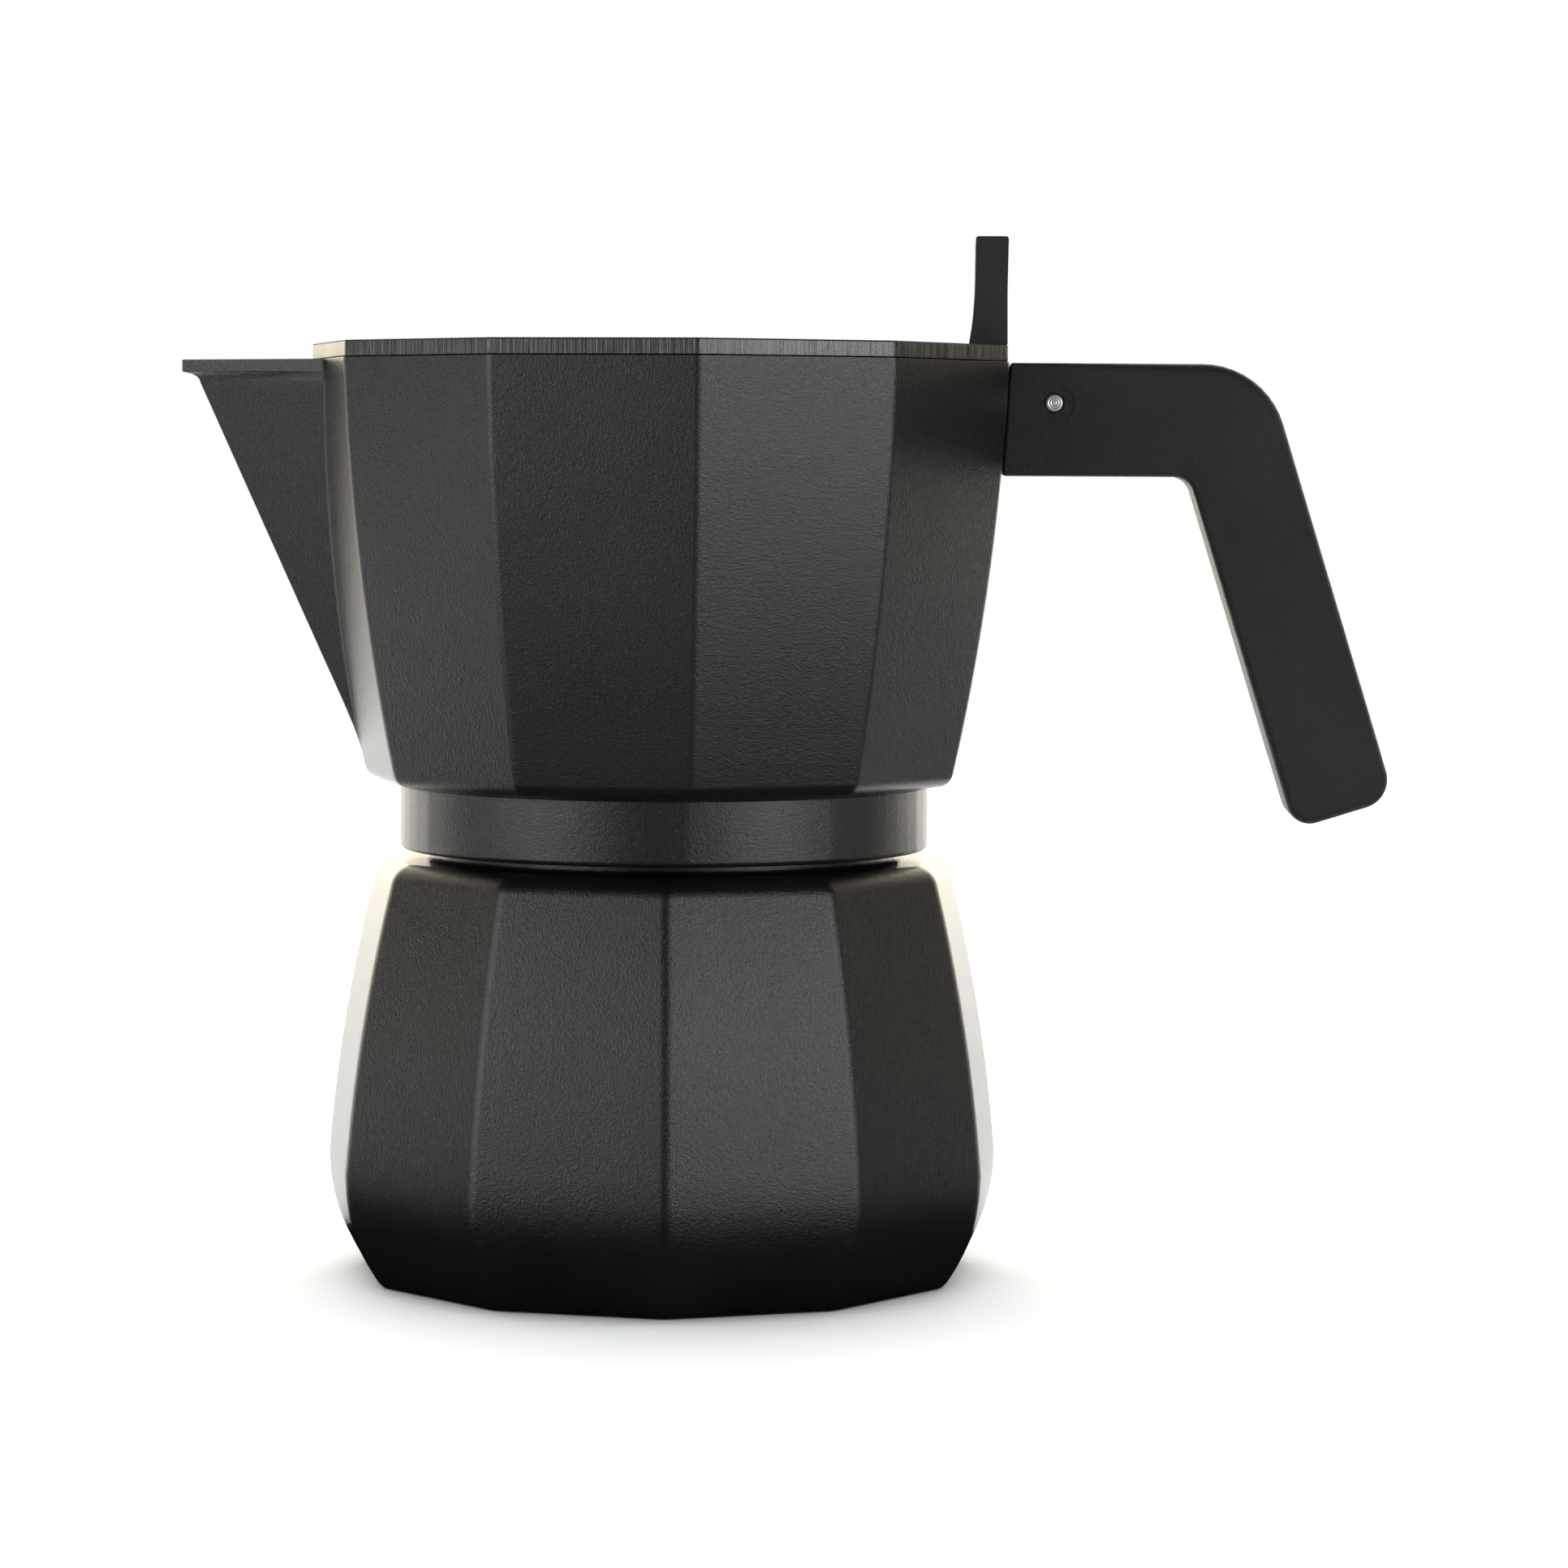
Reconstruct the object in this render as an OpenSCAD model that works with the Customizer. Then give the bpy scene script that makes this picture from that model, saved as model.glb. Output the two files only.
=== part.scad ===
// Stove-top moka pot: faceted cast boiler, screwed-on faceted collector with a
// V-shaped spout, flat hinged lid with a thumb tab and an angled side handle.
// Origin: centre of the flat foot. +Z up, spout towards -X, handle towards +X.

/* [Facets] */
// Number of flat sides round the body
sides = 11; // [9:2:11]
// Turn of the boiler's corners past the collector's, set by the thread stop
thread_stop_turn = -4.42; // [-12:0.01:12]

/* [Boiler] */
// Corner radius of the foot
foot_r = 41.5; // [36:0.1:50]
// Corner radius at the widest height
belly_r = 46.95; // [43:0.05:57]
// Height of the widest part
belly_z = 15.5; // [10:0.5:20]
// Corner radius where the wall meets the shoulder
shoulder_r = 39.7; // [38.5:0.1:48]
// Height of the flat shoulder
shoulder_z = 57.2; // [46:0.1:70]
// Radius of the round between wall and shoulder
shoulder_round = 4; // [2:0.5:5]
// Thickness of the boiler wall
boiler_wall = 2.6; // [2:0.1:3.2]
// Thickness of the boiler floor
boiler_floor = 3.2; // [2.4:0.1:5]
// Outside radius of the screwed neck
neck_r = 32.8; // [31.5:0.1:33.2]
// Height of the neck above the shoulder
neck_h = 7.1; // [6.5:0.1:9]
// Wall of the neck, thread included
neck_wall = 3.9; // [3:0.1:4.5]

/* [Safety valve] */
// Height of the valve's axis
valve_z = 33; // [28:0.5:40]
// Width of the valve's hexagon across its flats
valve_hex = 13; // [11:0.5:15]
// Radius of the screwed shank
valve_shank_r = 4.9; // [4.6:0.1:5.2]
// Radius of the sliding pin
valve_pin_r = 1.35; // [1:0.05:1.5]
// Lift of the pin when it blows off
valve_lift = 1.2; // [0.8:0.1:1.4]

/* [Funnel] */
// Depth of the coffee basket
basket_depth = 21.5; // [17:0.5:26]
// Sheet thickness of the funnel
funnel_wall = 0.8; // [0.6:0.1:1]
// Outside radius of the funnel's stem
stem_r = 4.8; // [4:0.1:6]
// Gap under the stem
stem_gap = 3.6; // [2.5:0.1:5]

/* [Seal] */
// Thickness of the rubber seal
gasket_t = 3; // [2.5:0.1:3.5]
// Outside radius of the rubber seal
gasket_r = 32.5; // [31:0.1:32.6]
// Radius of the hole in the seal
gasket_hole_r = 26.5; // [24:0.5:27]
// Outside radius of the filter plate
plate_r = 28; // [27.5:0.1:28.5]
// Thickness of both perforated plates
plate_t = 0.5; // [0.4:0.1:0.6]

/* [Collector] */
// Corner radius of the rim
rim_r = 48.8; // [47:0.1:59]
// Height of the rim above the skirt's lower edge
collector_h = 66.5; // [58:0.1:80]
// Corner radius where the wall meets the underside
collector_foot_r = 41; // [39.5:0.1:46]
// Radius of the round between wall and underside
collector_round = 4.5; // [2:0.5:5]
// Thickness of the collector wall
collector_wall = 2.3; // [1.8:0.1:3]
// Outside radius of the screwed skirt
skirt_r = 36.3; // [36:0.1:37.5]
// Gap between the skirt and the boiler's shoulder
skirt_gap = 1.4; // [0.6:0.1:2]
// Depth of the screwed part of the skirt
skirt_thread = 6; // [5:0.1:7]

/* [Spout] */
// Reach of the spout's lip from the axis
spout_reach = 66.9; // [60:0.1:80]
// Overhang of the lip
lip_out = 2.5; // [1.5:0.1:3]
// Thickness of the lip
lip_t = 1.7; // [1.2:0.1:2.5]
// Half of the angle between the spout's side panels
spout_half_angle = 30; // [25:0.5:34]
// Thickness of the side panels
spout_wall = 1.9; // [1.5:0.1:2.4]

/* [Column] */
// Outside radius of the column tube
column_r = 5; // [4.5:0.1:6]
// Height of the column tube above the floor
column_h = 37; // [30:0.5:40]
// Outside radius of the column's cap
cap_r = 6.4; // [6.1:0.1:7.5]

/* [Lid] */
// Thickness of the lid
lid_t = 2.1; // [1.8:0.1:3]
// Inset of the lid's corners from the rim's corners
lid_inset = 0.2; // [0:0.1:0.8]
// Height of the thumb tab above the lid
tab_h = 14.7; // [10:0.1:18]
// Width of the thumb tab
tab_w = 20; // [17:0.5:24]
// Thickness of the thumb tab
tab_t = 4.3; // [3.8:0.1:5]

/* [Hinge] */
// Radius of the steel pin
pin_r = 1.33; // [1.2:0.01:1.4]
// Distance of the pin behind the body
pin_back = 6.2; // [5.8:0.1:7]
// Depth of the pin below the rim
pin_drop = 5.4; // [5.2:0.1:6]
// Width of the lid's knuckle
knuckle_w = 5; // [4:0.1:5.4]
// Thickness of each of the collector's two ears
ear_t = 1.9; // [1.6:0.1:2.1]

/* [Handle] */
// Thickness of the handle
handle_t = 14; // [13.6:0.1:18]
// Height of the handle's upper bar
bar_h = 15.3; // [14.5:0.1:18]
// Inside length of the bar, from the body to the bend
bar_len = 24.9; // [20:0.1:32]
// Width of the grip
grip_w = 14.3; // [11:0.1:18]
// Length of the grip below the bar
grip_len = 50; // [38:0.5:56]
// Lean of the grip from the vertical
grip_lean = 17.2; // [8:0.1:26]

/* [Hidden] */

$fn = 96;
ROUND_STEPS = 6;
e = 0.01;
facet = cos(180 / sides);

// Clearances
run_gap = 0.05;
thread_gap = 0.1;
basket_gap = 0.5;
lid_gap = 0.1;
ear_gap = 0.25;
slot_gap = 0.1;
body_gap = 0.5;

// Boiler
foot_drop = belly_r - foot_r;
belly_bow = (belly_z * belly_z + foot_drop * foot_drop) / (2 * foot_drop);
wall_share = 0.45;
neck_top = shoulder_z + neck_h;
neck_bore_r = neck_r - neck_wall;
bore_round = 3;

// Stack above the neck: funnel flange, gasket, filter plate
flange_t = 0.9;
flange_r = neck_r - 0.6;
gasket_z = neck_top + flange_t;
seat_z = gasket_z + gasket_t;
plate_seat = 0.6;
basket_r = neck_bore_r - basket_gap;
basket_z = neck_top - basket_depth;
cone_h = 5.5;

// Collector
skirt_z = shoulder_z + skirt_gap;
rim_z = skirt_z + collector_h;
under_z = seat_z - 0.4;
floor_z = seat_z + 4.6;
collector_share = 0.27;
relief_r = gasket_r + 0.7;
floor_round = 4;
gallery_r = 22;
gallery_h = 2.2;

// Column
hub_h = 5.5;
hub_r = column_r + 3.2;
column_bore_r = column_r - 1.6;
column_top = floor_z + column_h;
cap_h = 10;
cap_grip = 5;
outlet_r = 1.6;

// Spout
spout_foot_z = floor_z - 0.6;
front_x = spout_reach - lip_out;
lip_round = 1.4;
lip_foot = rim_z - lip_t - lip_round;
spout_back_x = 30;
facet_lean = 90 - 180 / sides;
joint_half = (front_x - rim_r) * sin(facet_lean)
    / (sin(facet_lean) / tan(spout_half_angle) - cos(facet_lean));
joint_x = rim_r - joint_half / tan(facet_lean);

// Lid and hinge
lid_z = rim_z + lid_gap;
lid_top = lid_z + lid_t;
back_x = rim_r * facet;
pin_x = back_x + pin_back;
pin_z = rim_z - pin_drop;
knuckle_r = pin_r + 2.05;
ear_out = knuckle_w / 2 + ear_gap + ear_t;
ear_end = pin_x + 4.4;
ear_low = rim_z - bar_h + 2.1;
notch_z = pin_z - 1.1;
tongue_root = 11;
ring_h = 1.2;
ring_w = 1.4;
tab_back = (rim_r - lid_inset) * facet - 0.05;
screw_y = 6;
screw_r = 1.1;
screw_head_r = 2.1;
screw_head_h = 1.1;
screw_len = 7;

// Handle
handle_low = rim_z - bar_h;
slot_end = pin_x + 6.4;
slot_floor = 1.9;
bend_r = 11.5;
inner_bend_r = 2.8;
end_r = 4;
dish_r = 3.05;
dish_depth = 0.35;
ring_r = 1.7;
ring_depth = 0.8;

// Valve, measured along its axis from the pot's axis
boss_r = 8;
// Turn of the boss about its axis, so that its seam misses the facets' edges
boss_seam = 40;
// Height of the boss over the wall at the boss's lower edge, where the wall reaches furthest
boss_proud = 0.32;
valve_face = boiler_r(valve_z - boss_r) * facet + boss_proud;
hex_t = 3.4;
nose_r = 4.9;
nose_len = 4.4;
nose_end = valve_face + hex_t + nose_len;
nose_wall = 1.4;
shank_end = valve_face - 8.2;
cavity_r = 3.1;
retainer_t = 1.4;
head_r = cavity_r - 0.25;
head_t = 1.5;
pin_proud = valve_lift + 0.4;
spring_wire = 0.35;
spring_turns = 5;

// ---------- outlines ----------

function unit(v) = v / norm(v);

// Arc of radius r that rounds corner b between a and c
function corner_arc(a, b, c, r) =
    let (u = unit(a - b), v = unit(c - b),
         half = acos(u * v) / 2,
         middle = b + unit(u + v) * r / sin(half),
         p = b + u * r / tan(half) - middle,
         q = b + v * r / tan(half) - middle,
         turn = (p.x * q.y - p.y * q.x > 0 ? 1 : -1) * (180 - 2 * half))
    [for (i = [0 : ROUND_STEPS])
        let (t = turn * i / ROUND_STEPS)
        middle + [p.x * cos(t) - p.y * sin(t), p.x * sin(t) + p.y * cos(t)]];

// Outline from corners [x, y, radius], with radius 0 for a sharp corner
function rounded(path) =
    let (n = len(path), xy = [for (p = path) [p.x, p.y]])
    [for (i = [0 : n - 1])
        each (path[i].z > 0
            ? corner_arc(xy[(i + n - 1) % n], xy[i], xy[(i + 1) % n], path[i].z)
            : [xy[i]])];

// Corner radius of the boiler at height z
function boiler_r(z) =
    let (t = (z - belly_z) / (shoulder_z - belly_z))
    z <= belly_z
        ? belly_r - belly_bow + sqrt(belly_bow * belly_bow - pow(belly_z - z, 2))
        : belly_r - (belly_r - shoulder_r) * (wall_share * t + (1 - wall_share) * t * t);

// Corner radius of the collector at height z
function collector_r(z) =
    let (t = (rim_z - z) / (rim_z - under_z))
    rim_r - (rim_r - collector_foot_r) * (collector_share * t + (1 - collector_share) * t * t);

// Distance of the spout's front edge from the axis at height z
function spout_x(z) =
    let (foot_x = collector_r(spout_foot_z))
    foot_x + (front_x - foot_x) * (z - spout_foot_z) / (lip_foot - spout_foot_z);

// Turns an outline of corner radii and heights into a faceted solid
module faceted(outline, turn) {
    rotate([0, 0, turn])
        rotate_extrude($fn = sides, start = 0)
            polygon(outline);
}

// Puts a part on the valve's axis, which then runs along +X
module on_valve_axis() {
    rotate([0, 0, 180 + thread_stop_turn - 2.5 * 360 / sides])
        translate([0, 0, valve_z])
            rotate([0, 90, 0])
                children();
}

// A plate outlined in X and Z, of width w across Y
module across(w) {
    translate([0, w / 2, 0])
        rotate([90, 0, 0])
            linear_extrude(w)
                children();
}

// Rings of small holes, six more in each ring
module strainer_holes(rings, pitch, r, z, h) {
    translate([0, 0, z]) {
        cylinder(r = r, h = h, $fn = 16);
        for (ring = [1 : rings], i = [0 : 6 * ring - 1])
            rotate([0, 0, 60 * i / ring])
                translate([ring * pitch, 0, 0])
                    cylinder(r = r, h = h, $fn = 16);
    }
}

// ---------- boiler ----------

module boiler() {
    steps = 10;
    wall = [for (i = [0 : steps]) let (z = belly_z * i / steps) [boiler_r(z), z]];
    upper = [for (i = [1 : steps - 1])
        let (z = belly_z + (shoulder_z - belly_z) * i / steps) [boiler_r(z), z]];
    shoulder = corner_arc(upper[steps - 2], [shoulder_r, shoulder_z], [0, shoulder_z],
                          shoulder_round);
    outline = concat([[0, 0]], wall, upper, shoulder, [[0, shoulder_z]]);
    inside_r = [for (z = [boiler_floor + bore_round, belly_z, shoulder_z - boiler_wall - bore_round])
        [boiler_r(z) * facet - boiler_wall, z]];
    inside = concat(
        [[0, boiler_floor], [inside_r[0].x - bore_round, boiler_floor]],
        inside_r,
        [[neck_bore_r, shoulder_z],
         [neck_bore_r, neck_top + 1],
         [0, neck_top + 1]]);
    color("#2b2a28")
    difference() {
        union() {
            faceted(outline, 180 + thread_stop_turn);
            translate([0, 0, shoulder_z - 1])
                cylinder(r = neck_r, h = neck_h + 1);
            on_valve_axis()
                rotate(boss_seam)
                    cylinder(r = boss_r, h = valve_face);
        }
        rotate_extrude()
            polygon(inside);
        on_valve_axis()
            cylinder(r = valve_shank_r, h = valve_face + 1);
    }
}

// ---------- safety valve ----------

module valve_body() {
    color("#b8923f")
    on_valve_axis()
    difference() {
        union() {
            translate([0, 0, shank_end])
                cylinder(r = valve_shank_r, h = valve_face - shank_end);
            translate([0, 0, valve_face])
                cylinder(r = valve_hex / 2 / cos(30), h = hex_t, $fn = 6);
            translate([0, 0, valve_face + hex_t])
                cylinder(r = nose_r, h = nose_len);
        }
        translate([0, 0, shank_end - 1])
            cylinder(r = cavity_r, h = nose_end - nose_wall - shank_end + 1);
        translate([0, 0, shank_end])
            cylinder(r = valve_pin_r + run_gap, h = nose_end);
        translate([0, 0, valve_face + hex_t + nose_len / 3])
            rotate([90, 0, 0])
                cylinder(r = 0.8, h = 4 * nose_r, center = true);
    }
}

module valve_retainer() {
    color("#c9a14a")
    on_valve_axis()
    translate([0, 0, shank_end])
    difference() {
        cylinder(r = cavity_r, h = retainer_t);
        translate([0, 0, -1])
            cylinder(r = valve_pin_r + 0.4, h = retainer_t + 2);
    }
}

// Sliding pin: its head closes the retainer's hole, its tip shows outside
module valve_pin() {
    head_z = shank_end + retainer_t + 0.02;
    color("#c0c0c0")
    on_valve_axis() {
        translate([0, 0, head_z])
            cylinder(r = head_r, h = head_t);
        translate([0, 0, head_z + head_t - e])
            cylinder(r = valve_pin_r, h = nose_end + pin_proud - head_z - head_t);
    }
}

// Compression spring between the pin's head and the nose
module valve_spring() {
    low = shank_end + retainer_t + head_t + 0.1 + spring_wire;
    high = nose_end - nose_wall - 0.05 - spring_wire;
    coil_r = valve_pin_r + 0.45 + spring_wire;
    ring_steps = 14;
    wire_sides = 6;
    rings = spring_turns * ring_steps;
    points = [for (i = [0 : rings], j = [0 : wire_sides - 1])
        let (a = 360 * i / ring_steps, b = 360 * j / wire_sides,
             r = coil_r + spring_wire * cos(b))
        [r * cos(a), r * sin(a), low + (high - low) * i / rings + spring_wire * sin(b)]];
    wraps = [for (i = [0 : rings - 1], j = [0 : wire_sides - 1])
        let (k = (j + 1) % wire_sides)
        [i * wire_sides + j, i * wire_sides + k, (i + 1) * wire_sides + k, (i + 1) * wire_sides + j]];
    first = [for (j = [wire_sides - 1 : -1 : 0]) j];
    last = [for (j = [0 : wire_sides - 1]) rings * wire_sides + j];
    color("#9a9a9a")
    on_valve_axis()
        polyhedron(points, concat([first], wraps, [last]));
}

// ---------- funnel ----------

module funnel() {
    stem_low = boiler_floor + stem_gap;
    lean = funnel_wall * 0.75;
    color("#c6c8ca")
    rotate_extrude()
        polygon([
            [stem_r - funnel_wall, stem_low],
            [stem_r, stem_low],
            [stem_r, basket_z - cone_h],
            [basket_r, basket_z],
            [basket_r, neck_top],
            [flange_r, neck_top],
            [flange_r, gasket_z],
            [basket_r - funnel_wall, gasket_z],
            [basket_r - funnel_wall, basket_z + lean],
            [stem_r - funnel_wall, basket_z - cone_h + lean]]);
}

module funnel_strainer() {
    seat = basket_z + funnel_wall * 0.75;
    color("#b4b6b8")
    difference() {
        translate([0, 0, seat])
            cylinder(r = basket_r - funnel_wall, h = plate_t);
        strainer_holes(5, 4.4, 0.7, seat - 1, plate_t + 2);
    }
}

// ---------- seal ----------

module gasket() {
    color("#d9d4c7")
    translate([0, 0, gasket_z])
    difference() {
        cylinder(r = gasket_r, h = gasket_t);
        translate([0, 0, -1])
            cylinder(r = gasket_hole_r, h = gasket_t + 2);
    }
}

module filter_plate() {
    dish = 0.9;
    dish_in = gasket_hole_r - 2.5;
    color("#b4b6b8")
    difference() {
        rotate_extrude()
            polygon([
                [0, seat_z - dish],
                [dish_in, seat_z - dish],
                [dish_in + dish, seat_z],
                [plate_r, seat_z],
                [plate_r, seat_z + plate_t],
                [dish_in + dish - plate_t, seat_z + plate_t],
                [dish_in - plate_t, seat_z + plate_t - dish],
                [0, seat_z + plate_t - dish]]);
        strainer_holes(5, 4, 0.7, seat_z - 2, 4);
    }
}

// ---------- collector ----------

function collector_outline() =
    let (steps = 12,
         wall = [for (i = [0 : steps - 1])
             let (z = rim_z - (rim_z - under_z) * i / steps) [collector_r(z), z]])
    concat([[0, rim_z]], wall,
           corner_arc(wall[steps - 1], [collector_foot_r, under_z], [0, under_z],
                      collector_round),
           [[0, under_z]]);

function cavity_outline() =
    let (steps = 12,
         inset = collector_wall / facet,
         wall = [for (i = [0 : steps - 1])
             let (z = rim_z - (rim_z - floor_z) * i / steps) [collector_r(z) - inset, z]])
    concat([[0, rim_z + 1], [wall[0].x, rim_z + 1]], wall,
           corner_arc(wall[steps - 1], [collector_r(floor_z) - inset, floor_z], [0, floor_z],
                      floor_round),
           [[0, floor_z]]);

// V-shaped solid: a triangle at each level [height, distance of the tip, half angle]
module wedge(levels) {
    last = len(levels) - 1;
    points = [for (level = levels)
        let (half = (level[1] - spout_back_x) * tan(level[2]))
        each [[-level[1], 0, level[0]],
              [-spout_back_x, half, level[0]],
              [-spout_back_x, -half, level[0]]]];
    panels = [for (i = [0 : last - 1], j = [0 : 2])
        let (k = (j + 1) % 3)
        [3 * i + j, 3 * i + k, 3 * (i + 1) + k, 3 * (i + 1) + j]];
    polyhedron(points, concat([[2, 1, 0]], panels, [[3 * last, 3 * last + 1, 3 * last + 2]]));
}

// Outside of the spout: the lip stands out at the tip and dies out at the body
module spout_outside() {
    levels = [for (step = [[lip_foot, 0], [lip_foot + lip_round * 0.45, 0.6],
                           [rim_z - lip_t, 1], [rim_z, 1]])
        let (tip = front_x + step[1] * lip_out)
        [step[0], tip, atan(joint_half / (tip - joint_x))]];
    wedge(concat([[spout_foot_z, spout_x(spout_foot_z), spout_half_angle]], levels));
}

module spout_channel() {
    wedge([for (z = [spout_foot_z, rim_z + 1])
        [z, spout_x(z) - spout_wall / sin(spout_half_angle), spout_half_angle]]);
}

module ears() {
    outline = rounded([
        [back_x - collector_wall / 2, ear_low, 0],
        [ear_end, ear_low, 2],
        [ear_end, rim_z - 0.5, 2.5],
        [back_x - collector_wall / 2, rim_z - 0.5, 0]]);
    for (side = [-1, 1])
        translate([0, side * (ear_out - ear_t / 2), 0])
            across(ear_t)
                polygon(outline);
}

module collector() {
    gallery_z = seat_z + plate_seat;
    color("#2d2c2a")
    difference() {
        union() {
            difference() {
                union() {
                    faceted(collector_outline(), 180);
                    spout_outside();
                }
                faceted(cavity_outline(), 180);
                spout_channel();
            }
            translate([0, 0, skirt_z])
                cylinder(r = skirt_r, h = under_z + 1 - skirt_z);
            translate([0, 0, floor_z - 1])
                cylinder(r1 = hub_r + 1.5, r2 = hub_r, h = hub_h + 1);
            ears();
        }
        // Skirt's inside: thread, relief, seat, gallery under the filter plate
        rotate_extrude()
            polygon([
                [0, skirt_z - 1],
                [neck_r + thread_gap, skirt_z - 1],
                [neck_r + thread_gap, skirt_z + skirt_thread],
                [relief_r, skirt_z + skirt_thread + 0.5],
                [relief_r, seat_z],
                [plate_r + thread_gap, seat_z],
                [plate_r + thread_gap, gallery_z],
                [gallery_r, gallery_z],
                [column_bore_r, gallery_z + gallery_h],
                [0, gallery_z + gallery_h]]);
        translate([0, 0, seat_z])
            cylinder(r = column_bore_r, h = floor_z);
        translate([0, 0, floor_z - 0.8])
            cylinder(r = column_r, h = hub_h + 2);
        // Notch that the lid's tongue passes through
        translate([back_x - 2 * collector_wall, -knuckle_w / 2 - ear_gap, notch_z])
            cube([3 * collector_wall, knuckle_w + 2 * ear_gap, pin_drop + 5]);
        translate([pin_x, 0, pin_z])
            rotate([90, 0, 0])
                cylinder(r = pin_r, h = 4 * ear_out, center = true);
    }
}

// ---------- column ----------

module column() {
    low = floor_z - 0.8;
    color("#c2c4c6")
    translate([0, 0, low])
    difference() {
        cylinder(r = column_r, h = column_top - low);
        translate([0, 0, -1])
            cylinder(r = column_bore_r, h = column_top - low + 2);
    }
}

module column_cap() {
    low = column_top - cap_grip;
    color("#cdcfd1")
    difference() {
        translate([0, 0, low])
            rotate_extrude()
                polygon(rounded([
                    [0, 0, 0],
                    [cap_r, 0, 0],
                    [cap_r - 0.6, cap_h, 2.2],
                    [0, cap_h, 0]]));
        translate([0, 0, low - 1])
            cylinder(r = column_r, h = cap_grip + 1);
        translate([0, 0, column_top - 1])
            cylinder(r = column_bore_r, h = cap_h - cap_grip);
        translate([0, 0, column_top + outlet_r + 0.2])
            rotate([90, 0, 0])
                cylinder(r = outlet_r, h = 4 * cap_r, center = true);
    }
}

// ---------- lid ----------

module lid() {
    lid_r = rim_r - lid_inset;
    ring_out = rim_r - collector_wall / facet - 1;
    tongue = [
        [pin_x - tongue_root, lid_z + 0.5],
        [back_x - 0.4, lid_z + 0.5],
        [back_x + 1.4, rim_z - 0.3],
        [pin_x, pin_z + knuckle_r],
        [pin_x, pin_z],
        [pin_x - knuckle_r * 0.82, pin_z - knuckle_r * 0.57],
        [pin_x - 8.5, pin_z + 1.9],
        [pin_x - tongue_root, pin_z + 3.2]];
    color("#3a3937")
    difference() {
        union() {
            translate([0, 0, lid_z])
                rotate([0, 0, 180])
                    cylinder(r = lid_r, h = lid_t, $fn = sides);
            translate([0, 0, lid_z - ring_h])
                rotate([0, 0, 180])
                    difference() {
                        cylinder(r = ring_out, h = ring_h + e, $fn = sides);
                        translate([0, 0, -1])
                            cylinder(r = ring_out - ring_w, h = ring_h + 1, $fn = sides);
                    }
            across(knuckle_w)
                polygon(tongue);
            translate([pin_x, 0, pin_z])
                rotate([90, 0, 0])
                    cylinder(r = knuckle_r, h = knuckle_w, center = true);
        }
        translate([pin_x, 0, pin_z])
            rotate([90, 0, 0])
                cylinder(r = pin_r + run_gap, h = 2 * knuckle_w, center = true);
        for (side = [-1, 1])
            translate([tab_back - tab_t / 2, side * screw_y, lid_z])
                tab_screw(run_gap);
    }
}

// Countersunk screw standing on its head
module tab_screw(gap) {
    cylinder(r1 = screw_head_r + gap, r2 = screw_r + gap, h = screw_head_h);
    cylinder(r = screw_r + gap, h = screw_len);
}

module tab_screws() {
    color("#a8a8a8")
    for (side = [-1, 1])
        translate([tab_back - tab_t / 2, side * screw_y, lid_z])
            tab_screw(0);
}

module thumb_tab() {
    outline = rounded([
        [tab_back - tab_t - 0.6, lid_top, 0],
        [tab_back, lid_top, 0],
        [tab_back, lid_top + tab_h, 0.8],
        [tab_back - tab_t, lid_top + tab_h, 0.8],
        [tab_back - tab_t, lid_top + 3, 0]]);
    color("#242423")
    difference() {
        across(tab_w)
            polygon(outline);
        for (side = [-1, 1])
            translate([tab_back - tab_t / 2, side * screw_y, lid_z])
                tab_screw(0);
    }
}

// ---------- hinge pin and handle ----------

module hinge_pin() {
    color("#c9c9c6")
    translate([pin_x, 0, pin_z])
        rotate([90, 0, 0])
            cylinder(r = pin_r, h = handle_t - 2 * dish_depth, center = true);
}

function handle_outline() =
    let (down = [sin(grip_lean), -cos(grip_lean)],
         out = [cos(grip_lean), sin(grip_lean)],
         front_top = collector_r(rim_z) * facet + body_gap,
         front_low = collector_r(handle_low) * facet + body_gap,
         bend = [front_low + bar_len, handle_low],
         low_in = bend + down * grip_len,
         low_out = low_in + out * grip_w,
         top_out = low_out - down * (rim_z - low_out.y) / cos(grip_lean))
    rounded([
        [front_top, rim_z, 0.8],
        [front_low, handle_low, 0.8],
        [bend.x, bend.y, inner_bend_r],
        [low_in.x, low_in.y, end_r - 0.8],
        [low_out.x, low_out.y, end_r],
        [top_out.x, rim_z, bend_r]]);

module handle() {
    slot_half = ear_out + slot_gap;
    color("#232322")
    difference() {
        across(handle_t)
            polygon(handle_outline());
        translate([back_x - 4, -slot_half, handle_low + slot_floor])
            cube([slot_end - back_x + 4, 2 * slot_half, bar_h]);
        translate([pin_x, 0, pin_z])
            rotate([90, 0, 0])
                cylinder(r = pin_r, h = 2 * handle_t, center = true);
        for (side = [-1, 1])
            translate([pin_x, side * handle_t / 2, pin_z])
                rotate([90, 0, 0]) {
                    cylinder(r = dish_r, h = 2 * dish_depth, center = true);
                    cylinder(r = ring_r, h = 2 * ring_depth, center = true);
                }
    }
}

boiler();
valve_body();
valve_retainer();
valve_spring();
valve_pin();
funnel();
funnel_strainer();
gasket();
filter_plate();
collector();
column();
column_cap();
lid();
thumb_tab();
tab_screws();
hinge_pin();
handle();
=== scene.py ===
# %% [markdown]
# # A faceted moka pot
# A moka pot is a stack of simple things: a boiler, a funnel, a seal, a collector and a lid.
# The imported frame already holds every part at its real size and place. This lesson dresses
# that frame: each visible casting, pressing and moulding is modelled again with soft edges,
# and each gets a finish that looks like the real one. Everything is in metres.

import math

import bmesh
import bpy
from mathutils import Matrix, Vector


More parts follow.
